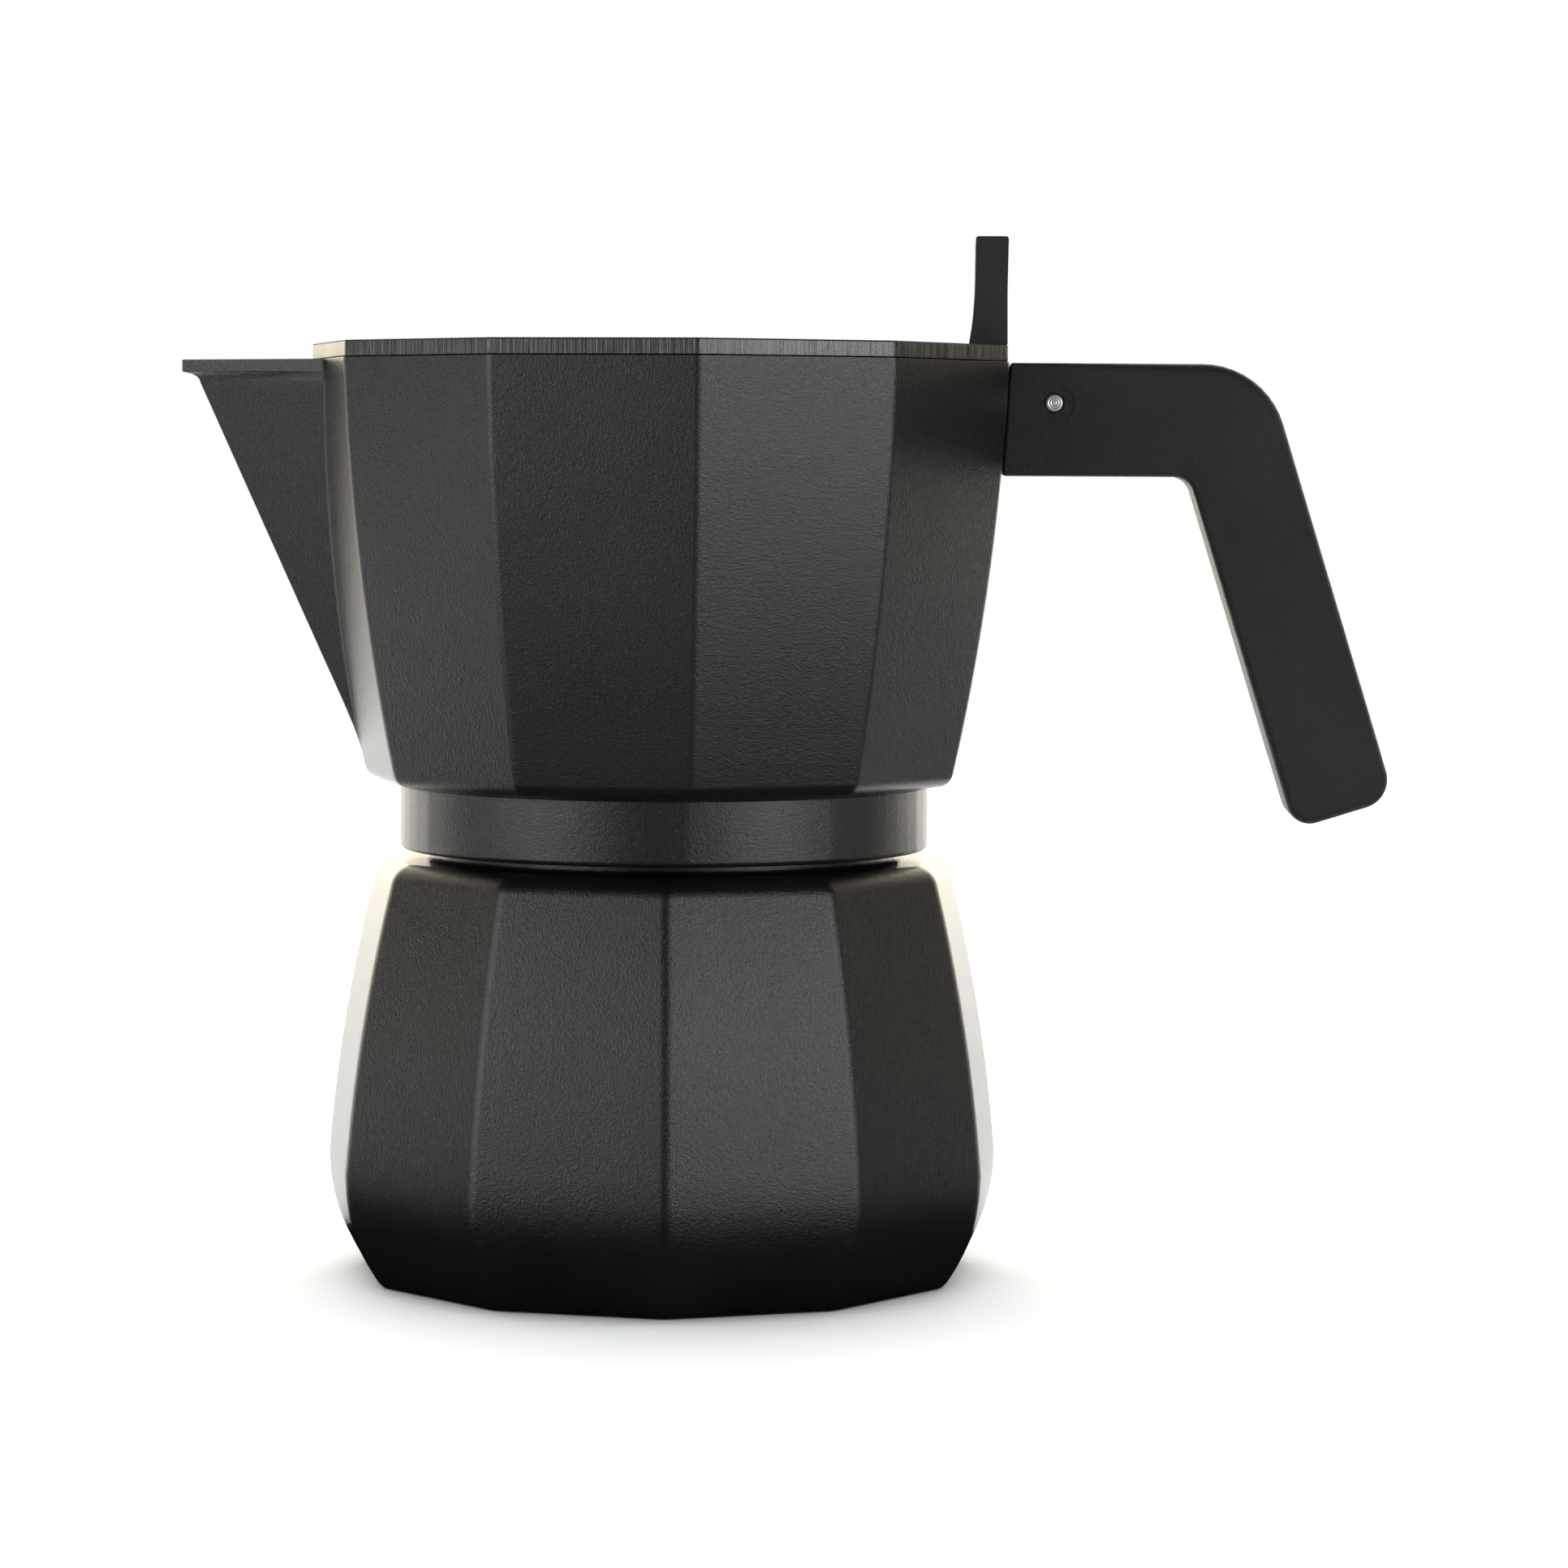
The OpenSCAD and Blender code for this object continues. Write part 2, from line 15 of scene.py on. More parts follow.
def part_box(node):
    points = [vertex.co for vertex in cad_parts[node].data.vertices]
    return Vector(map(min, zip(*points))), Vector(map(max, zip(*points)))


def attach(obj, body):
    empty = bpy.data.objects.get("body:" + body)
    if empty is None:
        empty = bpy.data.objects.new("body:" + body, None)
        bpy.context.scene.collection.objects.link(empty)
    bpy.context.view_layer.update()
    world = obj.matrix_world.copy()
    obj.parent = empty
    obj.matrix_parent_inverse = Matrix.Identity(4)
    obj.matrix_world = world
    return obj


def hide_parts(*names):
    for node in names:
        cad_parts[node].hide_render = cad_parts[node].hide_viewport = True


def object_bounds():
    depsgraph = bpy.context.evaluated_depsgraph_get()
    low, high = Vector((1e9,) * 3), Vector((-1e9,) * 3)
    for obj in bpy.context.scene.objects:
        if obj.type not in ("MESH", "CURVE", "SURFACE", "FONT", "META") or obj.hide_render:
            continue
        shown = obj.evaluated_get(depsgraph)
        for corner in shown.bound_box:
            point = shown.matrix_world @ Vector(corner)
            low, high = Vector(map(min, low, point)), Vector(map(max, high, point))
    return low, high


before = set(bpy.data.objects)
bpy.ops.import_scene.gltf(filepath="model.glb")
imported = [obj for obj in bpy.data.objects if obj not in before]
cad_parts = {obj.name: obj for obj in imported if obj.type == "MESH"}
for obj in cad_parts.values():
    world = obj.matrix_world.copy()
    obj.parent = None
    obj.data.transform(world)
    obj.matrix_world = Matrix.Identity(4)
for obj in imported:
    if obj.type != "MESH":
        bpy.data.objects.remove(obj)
cad_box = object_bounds()

# %% [markdown]
# ## Camera
# The pot is looked at from the side, a little above the middle of its body, through a long
# lens, so that the facets stay nearly parallel. A camera can be aimed with a constraint or by
# hand. Here its axes are written down as a matrix, which also holds its small roll.

# %% Camera
MM = 0.001
EYE = Vector((39.17, -670.94, 111.85)) * MM
LOOK = Vector((-0.03371, 0.99724, -0.06619)).normalized()
CAMERA_ROLL = math.radians(0.333)
LENS = 112.26

bpy.ops.object.camera_add()
camera = bpy.context.object
camera.name = "camera"
camera.data.lens = LENS
camera.data.sensor_width = 36
camera.data.clip_start = 0.01
level_right = LOOK.cross(Vector((0, 0, 1))).normalized()
level_up = level_right.cross(LOOK)
right = level_right * math.cos(CAMERA_ROLL) + level_up * math.sin(CAMERA_ROLL)
up = level_up * math.cos(CAMERA_ROLL) - level_right * math.sin(CAMERA_ROLL)
aim = Matrix((right, up, -LOOK)).transposed().to_4x4()
camera.matrix_world = Matrix.Translation(EYE) @ aim
bpy.context.scene.camera = camera
print("camera is", round((EYE - Vector((0, 0, 0.07))).length, 3), "m away")

# %% [markdown]
# ## Floor, light and tone
# A black satin object shows almost nothing but what it reflects, so the studio is built from
# what each facet should see. Two soft boxes stand left and right of the camera and fill the
# front facets, the gap between them stays dark, and a bright warm backdrop behind the pot
# draws a pale sliver down every side that turns away. The backdrop is painted on the sky, by
# direction. The camera itself sees that sky as plain white.

# %% Floor and sky
FLOOR_SIZE = 2.4
BACKDROP = (1.0, 0.91, 0.72)
SIDE_LEVEL, BACK_LEVEL = 0.03, 3.5
BACKDROP_TURN = math.radians(96)

bpy.ops.mesh.primitive_plane_add(size=FLOOR_SIZE, location=(0, 0, cad_box[0][2]))
floor = bpy.context.object
floor.name = "floor"

world = bpy.data.worlds.new("studio")
bpy.context.scene.world = world
bpy.context.scene.view_settings.view_transform = "Standard"
world.use_nodes = True
sky = world.node_tree
sky_out = sky.nodes["World Output"]
backdrop = sky.nodes["Background"]
backdrop.inputs["Color"].default_value = (*BACKDROP, 1)
direction = sky.nodes.new("ShaderNodeTexCoord")
axes = sky.nodes.new("ShaderNodeSeparateXYZ")
facing = sky.nodes.new("ShaderNodeVectorMath")
facing.operation = "DOT_PRODUCT"
facing.inputs[1].default_value = (math.cos(BACKDROP_TURN), math.sin(BACKDROP_TURN), 0)
towards_back = sky.nodes.new("ShaderNodeMapRange")
towards_back.interpolation_type = "SMOOTHSTEP"
overhead = sky.nodes.new("ShaderNodeMapRange")
overhead.interpolation_type = "SMOOTHSTEP"
for node, numbers in ((towards_back, (0.38, 0.97, SIDE_LEVEL, BACK_LEVEL)),
                      (overhead, (0.35, 0.85, 1.0, 0.25))):
    for socket, number in zip(("From Min", "From Max", "To Min", "To Max"), numbers):
        node.inputs[socket].default_value = number
level_of_sky = sky.nodes.new("ShaderNodeMath")
level_of_sky.operation = "MULTIPLY"
plain = sky.nodes.new("ShaderNodeBackground")
seen = sky.nodes.new("ShaderNodeLightPath")
choice = sky.nodes.new("ShaderNodeMixShader")
sky.links.new(direction.outputs["Generated"], axes.inputs["Vector"])
sky.links.new(direction.outputs["Generated"], facing.inputs[0])
sky.links.new(facing.outputs["Value"], towards_back.inputs["Value"])
sky.links.new(axes.outputs["Z"], overhead.inputs["Value"])
sky.links.new(towards_back.outputs["Result"], level_of_sky.inputs[0])
sky.links.new(overhead.outputs["Result"], level_of_sky.inputs[1])
sky.links.new(level_of_sky.outputs["Value"], backdrop.inputs["Strength"])
sky.links.new(seen.outputs["Is Camera Ray"], choice.inputs["Fac"])
sky.links.new(backdrop.outputs["Background"], choice.inputs[1])
sky.links.new(plain.outputs["Background"], choice.inputs[2])
sky.links.new(choice.outputs["Shader"], sky_out.inputs["Surface"])
plain.inputs["Color"].default_value = (1, 1, 1, 1)

# %% [markdown]
# Each soft box is an area light. Its brightness, what a mirror would see, is its power over
# pi times its area, so the helper takes the brightness and works out the power.

# %% Soft boxes
BOX_WHITE = (1.0, 0.99, 1.0)


def soft_box(name, place, target, size, brightness, spread=180, colour=BOX_WHITE):
    """A rectangular area light at place, turned to face target."""
    bpy.ops.object.light_add(type="AREA", location=place)
    lamp = bpy.context.object
    lamp.name = name
    lamp.data.shape = "RECTANGLE"
    lamp.data.size, lamp.data.size_y = size
    lamp.data.energy = brightness * math.pi * size[0] * size[1]
    lamp.data.spread = math.radians(spread)
    lamp.data.color = colour
    lamp.rotation_euler = (Vector(target) - Vector(place)).to_track_quat("-Z", "Y").to_euler()
    lamp.visible_camera = False
    return lamp


def around(degrees, distance, height):
    """A place round the pot, by its direction from +X."""
    a = math.radians(degrees)
    return distance * math.cos(a), distance * math.sin(a), height


left_box = soft_box("front_left_box", around(219, 0.8, 0.215), (0, 0, 0.15), (0.58, 0.43), 4.2)
right_box = soft_box("front_right_box", around(320, 0.8, 0.215), (0, 0, 0.15), (0.54, 0.43), 4.75)
floor_light = soft_box("floor_light", (0, 0.75, 0.9), (0, 0.75, 0), (2.6, 1.7), 1.4,
                       colour=(0.97, 0.985, 1.0))

bpy.ops.object.light_add(type="SUN", location=(0, 0, 2))
floor_fill = bpy.context.object
floor_fill.name = "floor_fill"
floor_fill.data.energy = 3.2
floor_fill.data.angle = math.radians(120)
floor_fill.data.color = (0.95, 0.975, 1.0)

# %% [markdown]
# A photographer lays a black card on the table in front of a dark object, just out of the
# frame, so that its lower faces stay dark. Here the card is a painted reflection and may lie in
# the frame: only mirror-like rays see it. It is black at the pot's foot, painted shade for the
# pot's own shadow there, and turns grey further out, a painted reflection of the lit floor,
# which a map from the distance to a faint glow does. Light linking does the rest, as the two
# boxes leave the floor alone and the floor has a broad lamp of its own.

# %% Black card of painted reflection, and light linking
CARD_Z = 0.2 * MM
cards = []
for name, low, high in (("card_front", (-1.2, -1.2), (1.2, 0.03)),
                        ("card_right", (0.13, 0.03), (1.2, 0.4))):
    bpy.ops.mesh.primitive_plane_add(
        size=1, location=((low[0] + high[0]) / 2, (low[1] + high[1]) / 2, CARD_Z))
    card = bpy.context.object
    card.name = name
    card.scale = high[0] - low[0], high[1] - low[1], 1
    bpy.ops.object.transform_apply(location=True, rotation=True, scale=True)
    card.visible_camera = card.visible_diffuse = card.visible_shadow = False
    cards.append(card)
# Painted reflection: a black card with an emission glow that only mirror-like rays see.
painted_reflection_card = bpy.data.materials.new("painted_reflection_card")
painted_reflection_card.use_nodes = True
card_tree = painted_reflection_card.node_tree
card_shader = card_tree.nodes["Principled BSDF"]
card_shader.inputs["Base Color"].default_value = (0.0, 0.0, 0.0, 1)
card_shader.inputs["Specular IOR Level"].default_value = 0
card_shader.inputs["Emission Color"].default_value = (1, 1, 1, 1)
place = card_tree.nodes.new("ShaderNodeTexCoord")
reach = card_tree.nodes.new("ShaderNodeVectorMath")
reach.operation = "LENGTH"
# Painted reflection of the lit floor: the glow grows with the distance from the pot's foot, which stays
# black as painted shade.
painted_floor_glow = card_tree.nodes.new("ShaderNodeMapRange")
painted_floor_glow.interpolation_type = "SMOOTHSTEP"
for socket, number in zip(("From Min", "From Max", "To Min", "To Max"), (0.07, 0.28, 0.0, 0.43)):
    painted_floor_glow.inputs[socket].default_value = number
card_tree.links.new(place.outputs["Object"], reach.inputs[0])
card_tree.links.new(reach.outputs["Value"], painted_floor_glow.inputs["Value"])
card_tree.links.new(painted_floor_glow.outputs["Result"], card_shader.inputs["Emission Strength"])
for card in cards:
    card.data.materials.append(painted_reflection_card)

unlit = bpy.data.collections.new("not_lit_by_boxes")
unlit.objects.link(floor)
for card in cards:
    unlit.objects.link(card)
for member in unlit.collection_objects:
    member.light_linking.link_state = "EXCLUDE"
for lamp in (left_box, right_box):
    lamp.light_linking.receiver_collection = unlit
only_floor = bpy.data.collections.new("lit_by_floor_light")
only_floor.objects.link(floor)
for lamp in (floor_light, floor_fill):
    lamp.light_linking.receiver_collection = only_floor

# %% [markdown]
# ## How the skins are made
# A casting with flat sides and soft corners is hard to get from a cube and a bevel. It is
# easier as a skin: a ring of points is added, its edges are extruded, and the new ring is set
# on the next outline, as if the shape were thrown on a wheel that has corners. Every outline
# has the same number of points, so the faces stay even from one end to the other.

# %% Outlines
ARC_STEPS = 4
FLAT_STEPS = 6
LEAST_REACH = 0.06 * MM


def outline(corners, arc_steps=ARC_STEPS, flat_steps=FLAT_STEPS):
    """Closed outline through corners (x, y, reach): each corner becomes a true arc that starts
    reach before it and ends reach after it, and each side is cut into flat_steps."""
    count = len(corners)
    spots = [Vector(corner[:2]) for corner in corners]
    arcs = []
    for i, corner in enumerate(corners):
        back = spots[i - 1] - spots[i]
        ahead = spots[(i + 1) % count] - spots[i]
        reach = min(max(corner[2], LEAST_REACH), 0.45 * back.length, 0.45 * ahead.length)
        start = spots[i] + back.normalized() * reach
        end = spots[i] + ahead.normalized() * reach
        weight = math.sin(back.angle(ahead) / 2)
        arc = []
        for step in range(arc_steps + 1):
            s = step / arc_steps
            parts = (1 - s) ** 2, 2 * s * (1 - s) * weight, s * s
            arc.append((start * parts[0] + spots[i] * parts[1] + end * parts[2]) / sum(parts))
        arcs.append(arc)
    points = []
    for i, arc in enumerate(arcs):
        following = arcs[(i + 1) % count][0]
        points += arc
        points += [arc[-1].lerp(following, k / flat_steps) for k in range(1, flat_steps)]
    return points


def softened(path, steps=4):
    """Open path through (radius, height, reach) corners, each rounded as outline does."""
    spots = [Vector(corner[:2]) for corner in path]
    points = []
    for i, corner in enumerate(path):
        if not corner[2] or i in (0, len(path) - 1):
            points.append(spots[i])
            continue
        back = spots[i - 1] - spots[i]
        ahead = spots[i + 1] - spots[i]
        reach = min(corner[2], 0.49 * back.length, 0.49 * ahead.length)
        start = spots[i] + back.normalized() * reach
        end = spots[i] + ahead.normalized() * reach
        weight = math.sin(back.angle(ahead) / 2)
        for step in range(steps + 1):
            s = step / steps
            parts = (1 - s) ** 2, 2 * s * (1 - s) * weight, s * s
            points.append((start * parts[0] + spots[i] * parts[1] + end * parts[2]) / sum(parts))
    return points


def circle(radius, height, steps):
    """A level ring of points round the pot's axis."""
    turns = [2 * math.pi * i / steps for i in range(steps)]
    return [Vector((radius * math.cos(a), radius * math.sin(a), height)) for a in turns]


# %% Skins
def deselect():
    """Operators act on everything that is selected, so this comes before each new shape."""
    if bpy.context.object and bpy.context.object.mode != "OBJECT":
        bpy.ops.object.mode_set(mode="OBJECT")
    bpy.ops.object.select_all(action="DESELECT")


def set_ring(piece, ring, points):
    """Puts the ring's vertices on the points."""
    shape = bmesh.from_edit_mesh(piece.data)
    shape.verts.ensure_lookup_table()
    for index, point in zip(ring, points):
        shape.verts[index].co = point
    bmesh.update_edit_mesh(piece.data)


def select_rings(piece, *rings):
    """Selects the edges that run round each ring, and nothing else."""
    bpy.ops.mesh.select_all(action="DESELECT")
    shape = bmesh.from_edit_mesh(piece.data)
    shape.verts.ensure_lookup_table()
    for ring in rings:
        for index, following in zip(ring, ring[1:] + ring[:1]):
            first, second = shape.verts[index], shape.verts[following]
            edge = next(e for e in first.link_edges if e.other_vert(first) == second)
            edge.select_set(True)
    bmesh.update_edit_mesh(piece.data)


def grow(piece, ring, points):
    """Extrudes the selected ring and sets the new one on the points."""
    bpy.ops.mesh.extrude_edges_move()
    shape = bmesh.from_edit_mesh(piece.data)
    shape.verts.ensure_lookup_table()
    fresh = []
    for index in ring:
        vert = shape.verts[index]
        others = (edge.other_vert(vert) for edge in vert.link_edges)
        fresh.append(next(other.index for other in others if other.select))
    set_ring(piece, fresh, points)
    return fresh


def skin(name, rings, ends="caps"):
    """A closed skin over the rings. ends is caps for a solid and loop for a tube, whose last
    ring is bridged to its first."""
    deselect()
    bpy.ops.mesh.primitive_circle_add(vertices=len(rings[0]), radius=1)
    piece = bpy.context.object
    piece.name = name
    bpy.ops.object.mode_set(mode="EDIT")
    bpy.ops.mesh.select_mode(type="EDGE")
    first = ring = list(range(len(rings[0])))
    set_ring(piece, first, rings[0])
    for points in rings[1:]:
        ring = grow(piece, ring, points)
    if ends == "caps":
        for end in (first, ring):
            select_rings(piece, end)
            bpy.ops.mesh.edge_face_add()
    else:
        select_rings(piece, first, ring)
        bpy.ops.mesh.bridge_edge_loops()
    bpy.ops.mesh.select_all(action="SELECT")
    bpy.ops.mesh.normals_make_consistent(inside=False)
    bpy.ops.object.mode_set(mode="OBJECT")
    print(name, "has", len(piece.data.polygons), "faces")
    return piece


def lathe(name, path, steps=96, ends="loop", place=None):
    """A skin of round rings along a path of (radius, height). place moves each point."""
    rings = [circle(r, z, steps) for r, z in path]
    if place:
        rings = [[place(point) for point in ring] for ring in rings]
    return skin(name, rings, ends)


# %% [markdown]
# Holes, slots and welds are booleans: the tool is a closed skin too, the modifier is applied,
# and the tool is thrown away. At the end the piece is shaded smooth by angle, and a weighted
# normal modifier lets the big flat faces win over the narrow rounds, so flats stay flat.

# %% Cutting, joining and finishing
SMOOTH_ANGLE = math.radians(38)


def boolean(piece, tool, operation):
    """Cuts (DIFFERENCE) or welds (UNION) tool into piece."""
    deselect()
    bpy.context.view_layer.objects.active = piece
    modifier = piece.modifiers.new("boolean", "BOOLEAN")
    modifier.operation = operation
    modifier.solver = "EXACT"
    modifier.object = tool
    bpy.ops.object.modifier_apply(modifier=modifier.name)
    bpy.data.objects.remove(tool)


def join(piece, *others):
    """Makes others part of piece's mesh."""
    deselect()
    for other in (piece, *others):
        other.select_set(True)
    bpy.context.view_layer.objects.active = piece
    bpy.ops.object.join()
    return piece


def block(name, low, high, bevel=0.0):
    """A box between two corners, with its edges rounded by bevel."""
    deselect()
    low, high = Vector(low), Vector(high)
    bpy.ops.mesh.primitive_cube_add(size=1, location=(low + high) / 2)
    piece = bpy.context.object
    piece.name = name
    piece.scale = high - low
    bpy.ops.object.transform_apply(location=True, rotation=False, scale=True)
    if bevel:
        bpy.ops.object.mode_set(mode="EDIT")
        bpy.ops.mesh.select_all(action="SELECT")
        bpy.ops.mesh.bevel(offset=bevel, segments=3, affect="EDGES")
        bpy.ops.object.mode_set(mode="OBJECT")
    return piece


def finish_piece(piece, finish, body, slot, *nodes):
    """Shades the piece, gives it its finish, ties it to its body and hides the CAD nodes it replaces."""
    deselect()
    piece.select_set(True)
    bpy.context.view_layer.objects.active = piece
    bpy.ops.object.shade_smooth_by_angle(angle=SMOOTH_ANGLE)
    modifier = piece.modifiers.new("weighted", "WEIGHTED_NORMAL")
    modifier.keep_sharp = True
    modifier.weight = 80
    bpy.ops.object.modifier_apply(modifier=modifier.name)
    piece.data.materials.clear()
    piece.data.materials.append(finish)
    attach(piece, body)
    if nodes:
        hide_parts(*nodes)


# %% [markdown]
# ## Finishes
# All finishes are built from noise in object coordinates, which don't stretch and need no UV
# map. A shared helper lays a fine grain over a surface: one noise breaks up the roughness and
# another raises a tiny bump. The numbers are in repeats per metre, so 2000 is half a
# millimetre.

# %% Finish helpers
def new_finish(name, colour, roughness, metallic=0.0):
    """A material and the nodes that later steps hook into."""
    finish = bpy.data.materials.new(name)
    finish.use_nodes = True
    tree = finish.node_tree
    shader = tree.nodes["Principled BSDF"]
    shader.inputs["Base Color"].default_value = (*colour, 1)
    shader.inputs["Roughness"].default_value = roughness
    shader.inputs["Metallic"].default_value = metallic
    return finish, tree, shader


def noise(tree, scale, stretch=(1, 1, 1), detail=4.0, rough=0.55):
    """Noise in object coordinates, stretched along an axis where stretch is small."""
    place = tree.nodes.new("ShaderNodeTexCoord")
    mapping = tree.nodes.new("ShaderNodeMapping")
    mapping.inputs["Scale"].default_value = stretch
    texture = tree.nodes.new("ShaderNodeTexNoise")
    texture.inputs["Scale"].default_value = scale
    texture.inputs["Detail"].default_value = detail
    texture.inputs["Roughness"].default_value = rough
    tree.links.new(place.outputs["Object"], mapping.inputs["Vector"])
    tree.links.new(mapping.outputs["Vector"], texture.inputs["Vector"])
    return texture.outputs["Fac"]


def vary(tree, source, low, high, target, from_low=0.3, from_high=0.7):
    """Maps a 0 to 1 pattern to a range and plugs it into a socket."""
    spread = tree.nodes.new("ShaderNodeMapRange")
    spread.inputs["From Min"].default_value = from_low
    spread.inputs["From Max"].default_value = from_high
    spread.inputs["To Min"].default_value = low
    spread.inputs["To Max"].default_value = high
    tree.links.new(source, spread.inputs["Value"])
    tree.links.new(spread.outputs["Result"], target)


def tint(tree, source, dark, light, shader, from_low=0.35, from_high=0.65):
    """Lets a pattern move the base colour between two tints."""
    ramp = tree.nodes.new("ShaderNodeValToRGB")
    ramp.color_ramp.elements[0].position = from_low
    ramp.color_ramp.elements[1].position = from_high
    ramp.color_ramp.elements[0].color = (*dark, 1)
    ramp.color_ramp.elements[1].color = (*light, 1)
    tree.links.new(source, ramp.inputs["Fac"])
    tree.links.new(ramp.outputs["Color"], shader.inputs["Base Color"])


def raise_grain(tree, shader, layers):
    """Stacks bumps, each (pattern, height in millimetres, strength)."""
    below = None
    for pattern, height, strength in layers:
        bump = tree.nodes.new("ShaderNodeBump")
        bump.inputs["Distance"].default_value = height * MM
        bump.inputs["Strength"].default_value = strength
        tree.links.new(pattern, bump.inputs["Height"])
        if below:
            tree.links.new(below, bump.inputs["Normal"])
        below = bump.outputs["Normal"]
    tree.links.new(below, shader.inputs["Normal"])


# %% [markdown]
# The castings have a thin satin black coat over blasted aluminium. Close up it is a fine,
# even grain; from a distance the broad noise makes it a little cloudy, so large flats
# don't look like paper.

# %% Coated castings
COAT_DARK = (0.0046, 0.0045, 0.0042)
COAT_LIGHT = (0.0066, 0.0064, 0.0060)


def coated_metal(name, roughness):
    finish, tree, shader = new_finish(name, COAT_DARK, roughness)
    cloud = noise(tree, 45, detail=3)
    grain = noise(tree, 3600, detail=3, rough=0.7)
    peel = noise(tree, 1500, detail=2)
    tint(tree, cloud, COAT_DARK, COAT_LIGHT, shader)
    vary(tree, grain, roughness - 0.04, roughness + 0.05, shader.inputs["Roughness"])
    raise_grain(tree, shader, [(peel, 0.03, 0.5), (grain, 0.085, 1.0)])
    return finish


boiler_coat = coated_metal("boiler_coat", 0.16)
collector_coat = coated_metal("collector_coat", 0.16)

# %% [markdown]
# The lid is a plate with machined edges. The cutter leaves close upright lines of uneven
# width, which is noise squeezed hard along the height.

# %% Lid coat
def lid_coat(top):
    """The coat of a plate whose edge was milled: upright lines that stop below its top."""
    finish, tree, shader = new_finish("lid_coat", (0.008, 0.0077, 0.007), 0.3)
    lines = noise(tree, 2300, stretch=(1, 1, 0.01), detail=3, rough=0.8)
    cloud = noise(tree, 60, detail=3)
    place = tree.nodes.new("ShaderNodeTexCoord")
    axes = tree.nodes.new("ShaderNodeSeparateXYZ")
    on_edge = tree.nodes.new("ShaderNodeMapRange")
    on_edge.inputs["From Min"].default_value = top - 0.12 * MM
    on_edge.inputs["From Max"].default_value = top - 0.2 * MM
    milled = tree.nodes.new("ShaderNodeMath")
    milled.operation = "MULTIPLY"
    tree.links.new(place.outputs["Object"], axes.inputs["Vector"])
    tree.links.new(axes.outputs["Z"], on_edge.inputs["Value"])
    tree.links.new(on_edge.outputs["Result"], milled.inputs[0])
    tree.links.new(lines, milled.inputs[1])
    shader.inputs["Specular IOR Level"].default_value = 0.85
    tint(tree, milled.outputs["Value"], (0.002, 0.0019, 0.0018), (0.035, 0.034, 0.031), shader,
         0.5, 0.66)
    duller_top = tree.nodes.new("ShaderNodeMath")
    duller_top.operation = "SUBTRACT"
    vary(tree, cloud, 0.68, 0.76, duller_top.inputs[0])
    vary(tree, on_edge.outputs["Result"], 0.0, 0.41, duller_top.inputs[1], 0, 1)
    tree.links.new(duller_top.outputs["Value"], shader.inputs["Roughness"])
    grain = noise(tree, 3600, detail=3, rough=0.7)
    raise_grain(tree, shader, [(grain, 0.05, 0.6), (milled.outputs["Value"], 0.1, 1.0)])
    return finish



# %% [markdown]
# The handle and the thumb tab are moulded in a spark-eroded tool, which leaves a coarser,
# leathery grain than the paint. Two noises of different size give it both pits and sparkle.

# %% Moulded black
def moulded_black():
    finish, tree, shader = new_finish("moulded_black", (0.010, 0.0086, 0.0082), 0.45)
    coarse = noise(tree, 2300, detail=4, rough=0.75)
    cloud = noise(tree, 50, detail=2)
    shader.inputs["Specular IOR Level"].default_value = 0.45
    tint(tree, cloud, (0.009, 0.0077, 0.0074), (0.013, 0.0112, 0.0106), shader)
    vary(tree, coarse, 0.34, 0.56, shader.inputs["Roughness"])
    raise_grain(tree, shader, [(coarse, 0.3, 1.0)])
    return finish


moulding = moulded_black()

# %% [markdown]
# Inside, the metal is bare: drawn sheet with faint rings for the funnel, turned bar for the
# valve and the pin, and a plain rubber for the seal.

# %% Bare metals and rubber
def bare_metal(name, colour, roughness, stretch=(1, 1, 1), scale=1400, height=0.01):
    finish, tree, shader = new_finish(name, colour, roughness, metallic=1.0)
    lines = noise(tree, scale, stretch=stretch, detail=3, rough=0.6)
    cloud = noise(tree, 120, detail=3)
    darker = tuple(0.8 * c for c in colour)
    tint(tree, cloud, darker, colour, shader)
    vary(tree, lines, roughness - 0.08, roughness + 0.12, shader.inputs["Roughness"])
    raise_grain(tree, shader, [(lines, height, 0.5)])
    return finish


def turned_steel(name, centre):
    """Steel faced on a lathe: rings round the given axis in X and Z."""
    finish, tree, shader = new_finish(name, (0.78, 0.77, 0.74), 0.42, metallic=1.0)
    place = tree.nodes.new("ShaderNodeTexCoord")
    mapping = tree.nodes.new("ShaderNodeMapping")
    mapping.inputs["Location"].default_value = -Vector(centre)
    mapping.inputs["Scale"].default_value = (1, 0, 1)
    rings = tree.nodes.new("ShaderNodeTexWave")
    rings.wave_type = "RINGS"
    rings.rings_direction = "SPHERICAL"
    rings.inputs["Scale"].default_value = 900
    rings.inputs["Distortion"].default_value = 1.5
    rings.inputs["Detail"].default_value = 2
    tree.links.new(place.outputs["Object"], mapping.inputs["Vector"])
    tree.links.new(mapping.outputs["Vector"], rings.inputs["Vector"])
    vary(tree, rings.outputs["Fac"], 0.35, 0.5, shader.inputs["Roughness"], 0, 1)
    raise_grain(tree, shader, [(rings.outputs["Fac"], 0.035, 1.0)])
    return finish


def seal_rubber():
    finish, tree, shader = new_finish("seal_rubber", (0.62, 0.58, 0.5), 0.55)
    cloud = noise(tree, 150, detail=3)
    grain = noise(tree, 2500, detail=2)
    tint(tree, cloud, (0.52, 0.48, 0.41), (0.66, 0.62, 0.54), shader)
    vary(tree, grain, 0.5, 0.65, shader.inputs["Roughness"])
    raise_grain(tree, shader, [(grain, 0.02, 0.3)])
    return finish


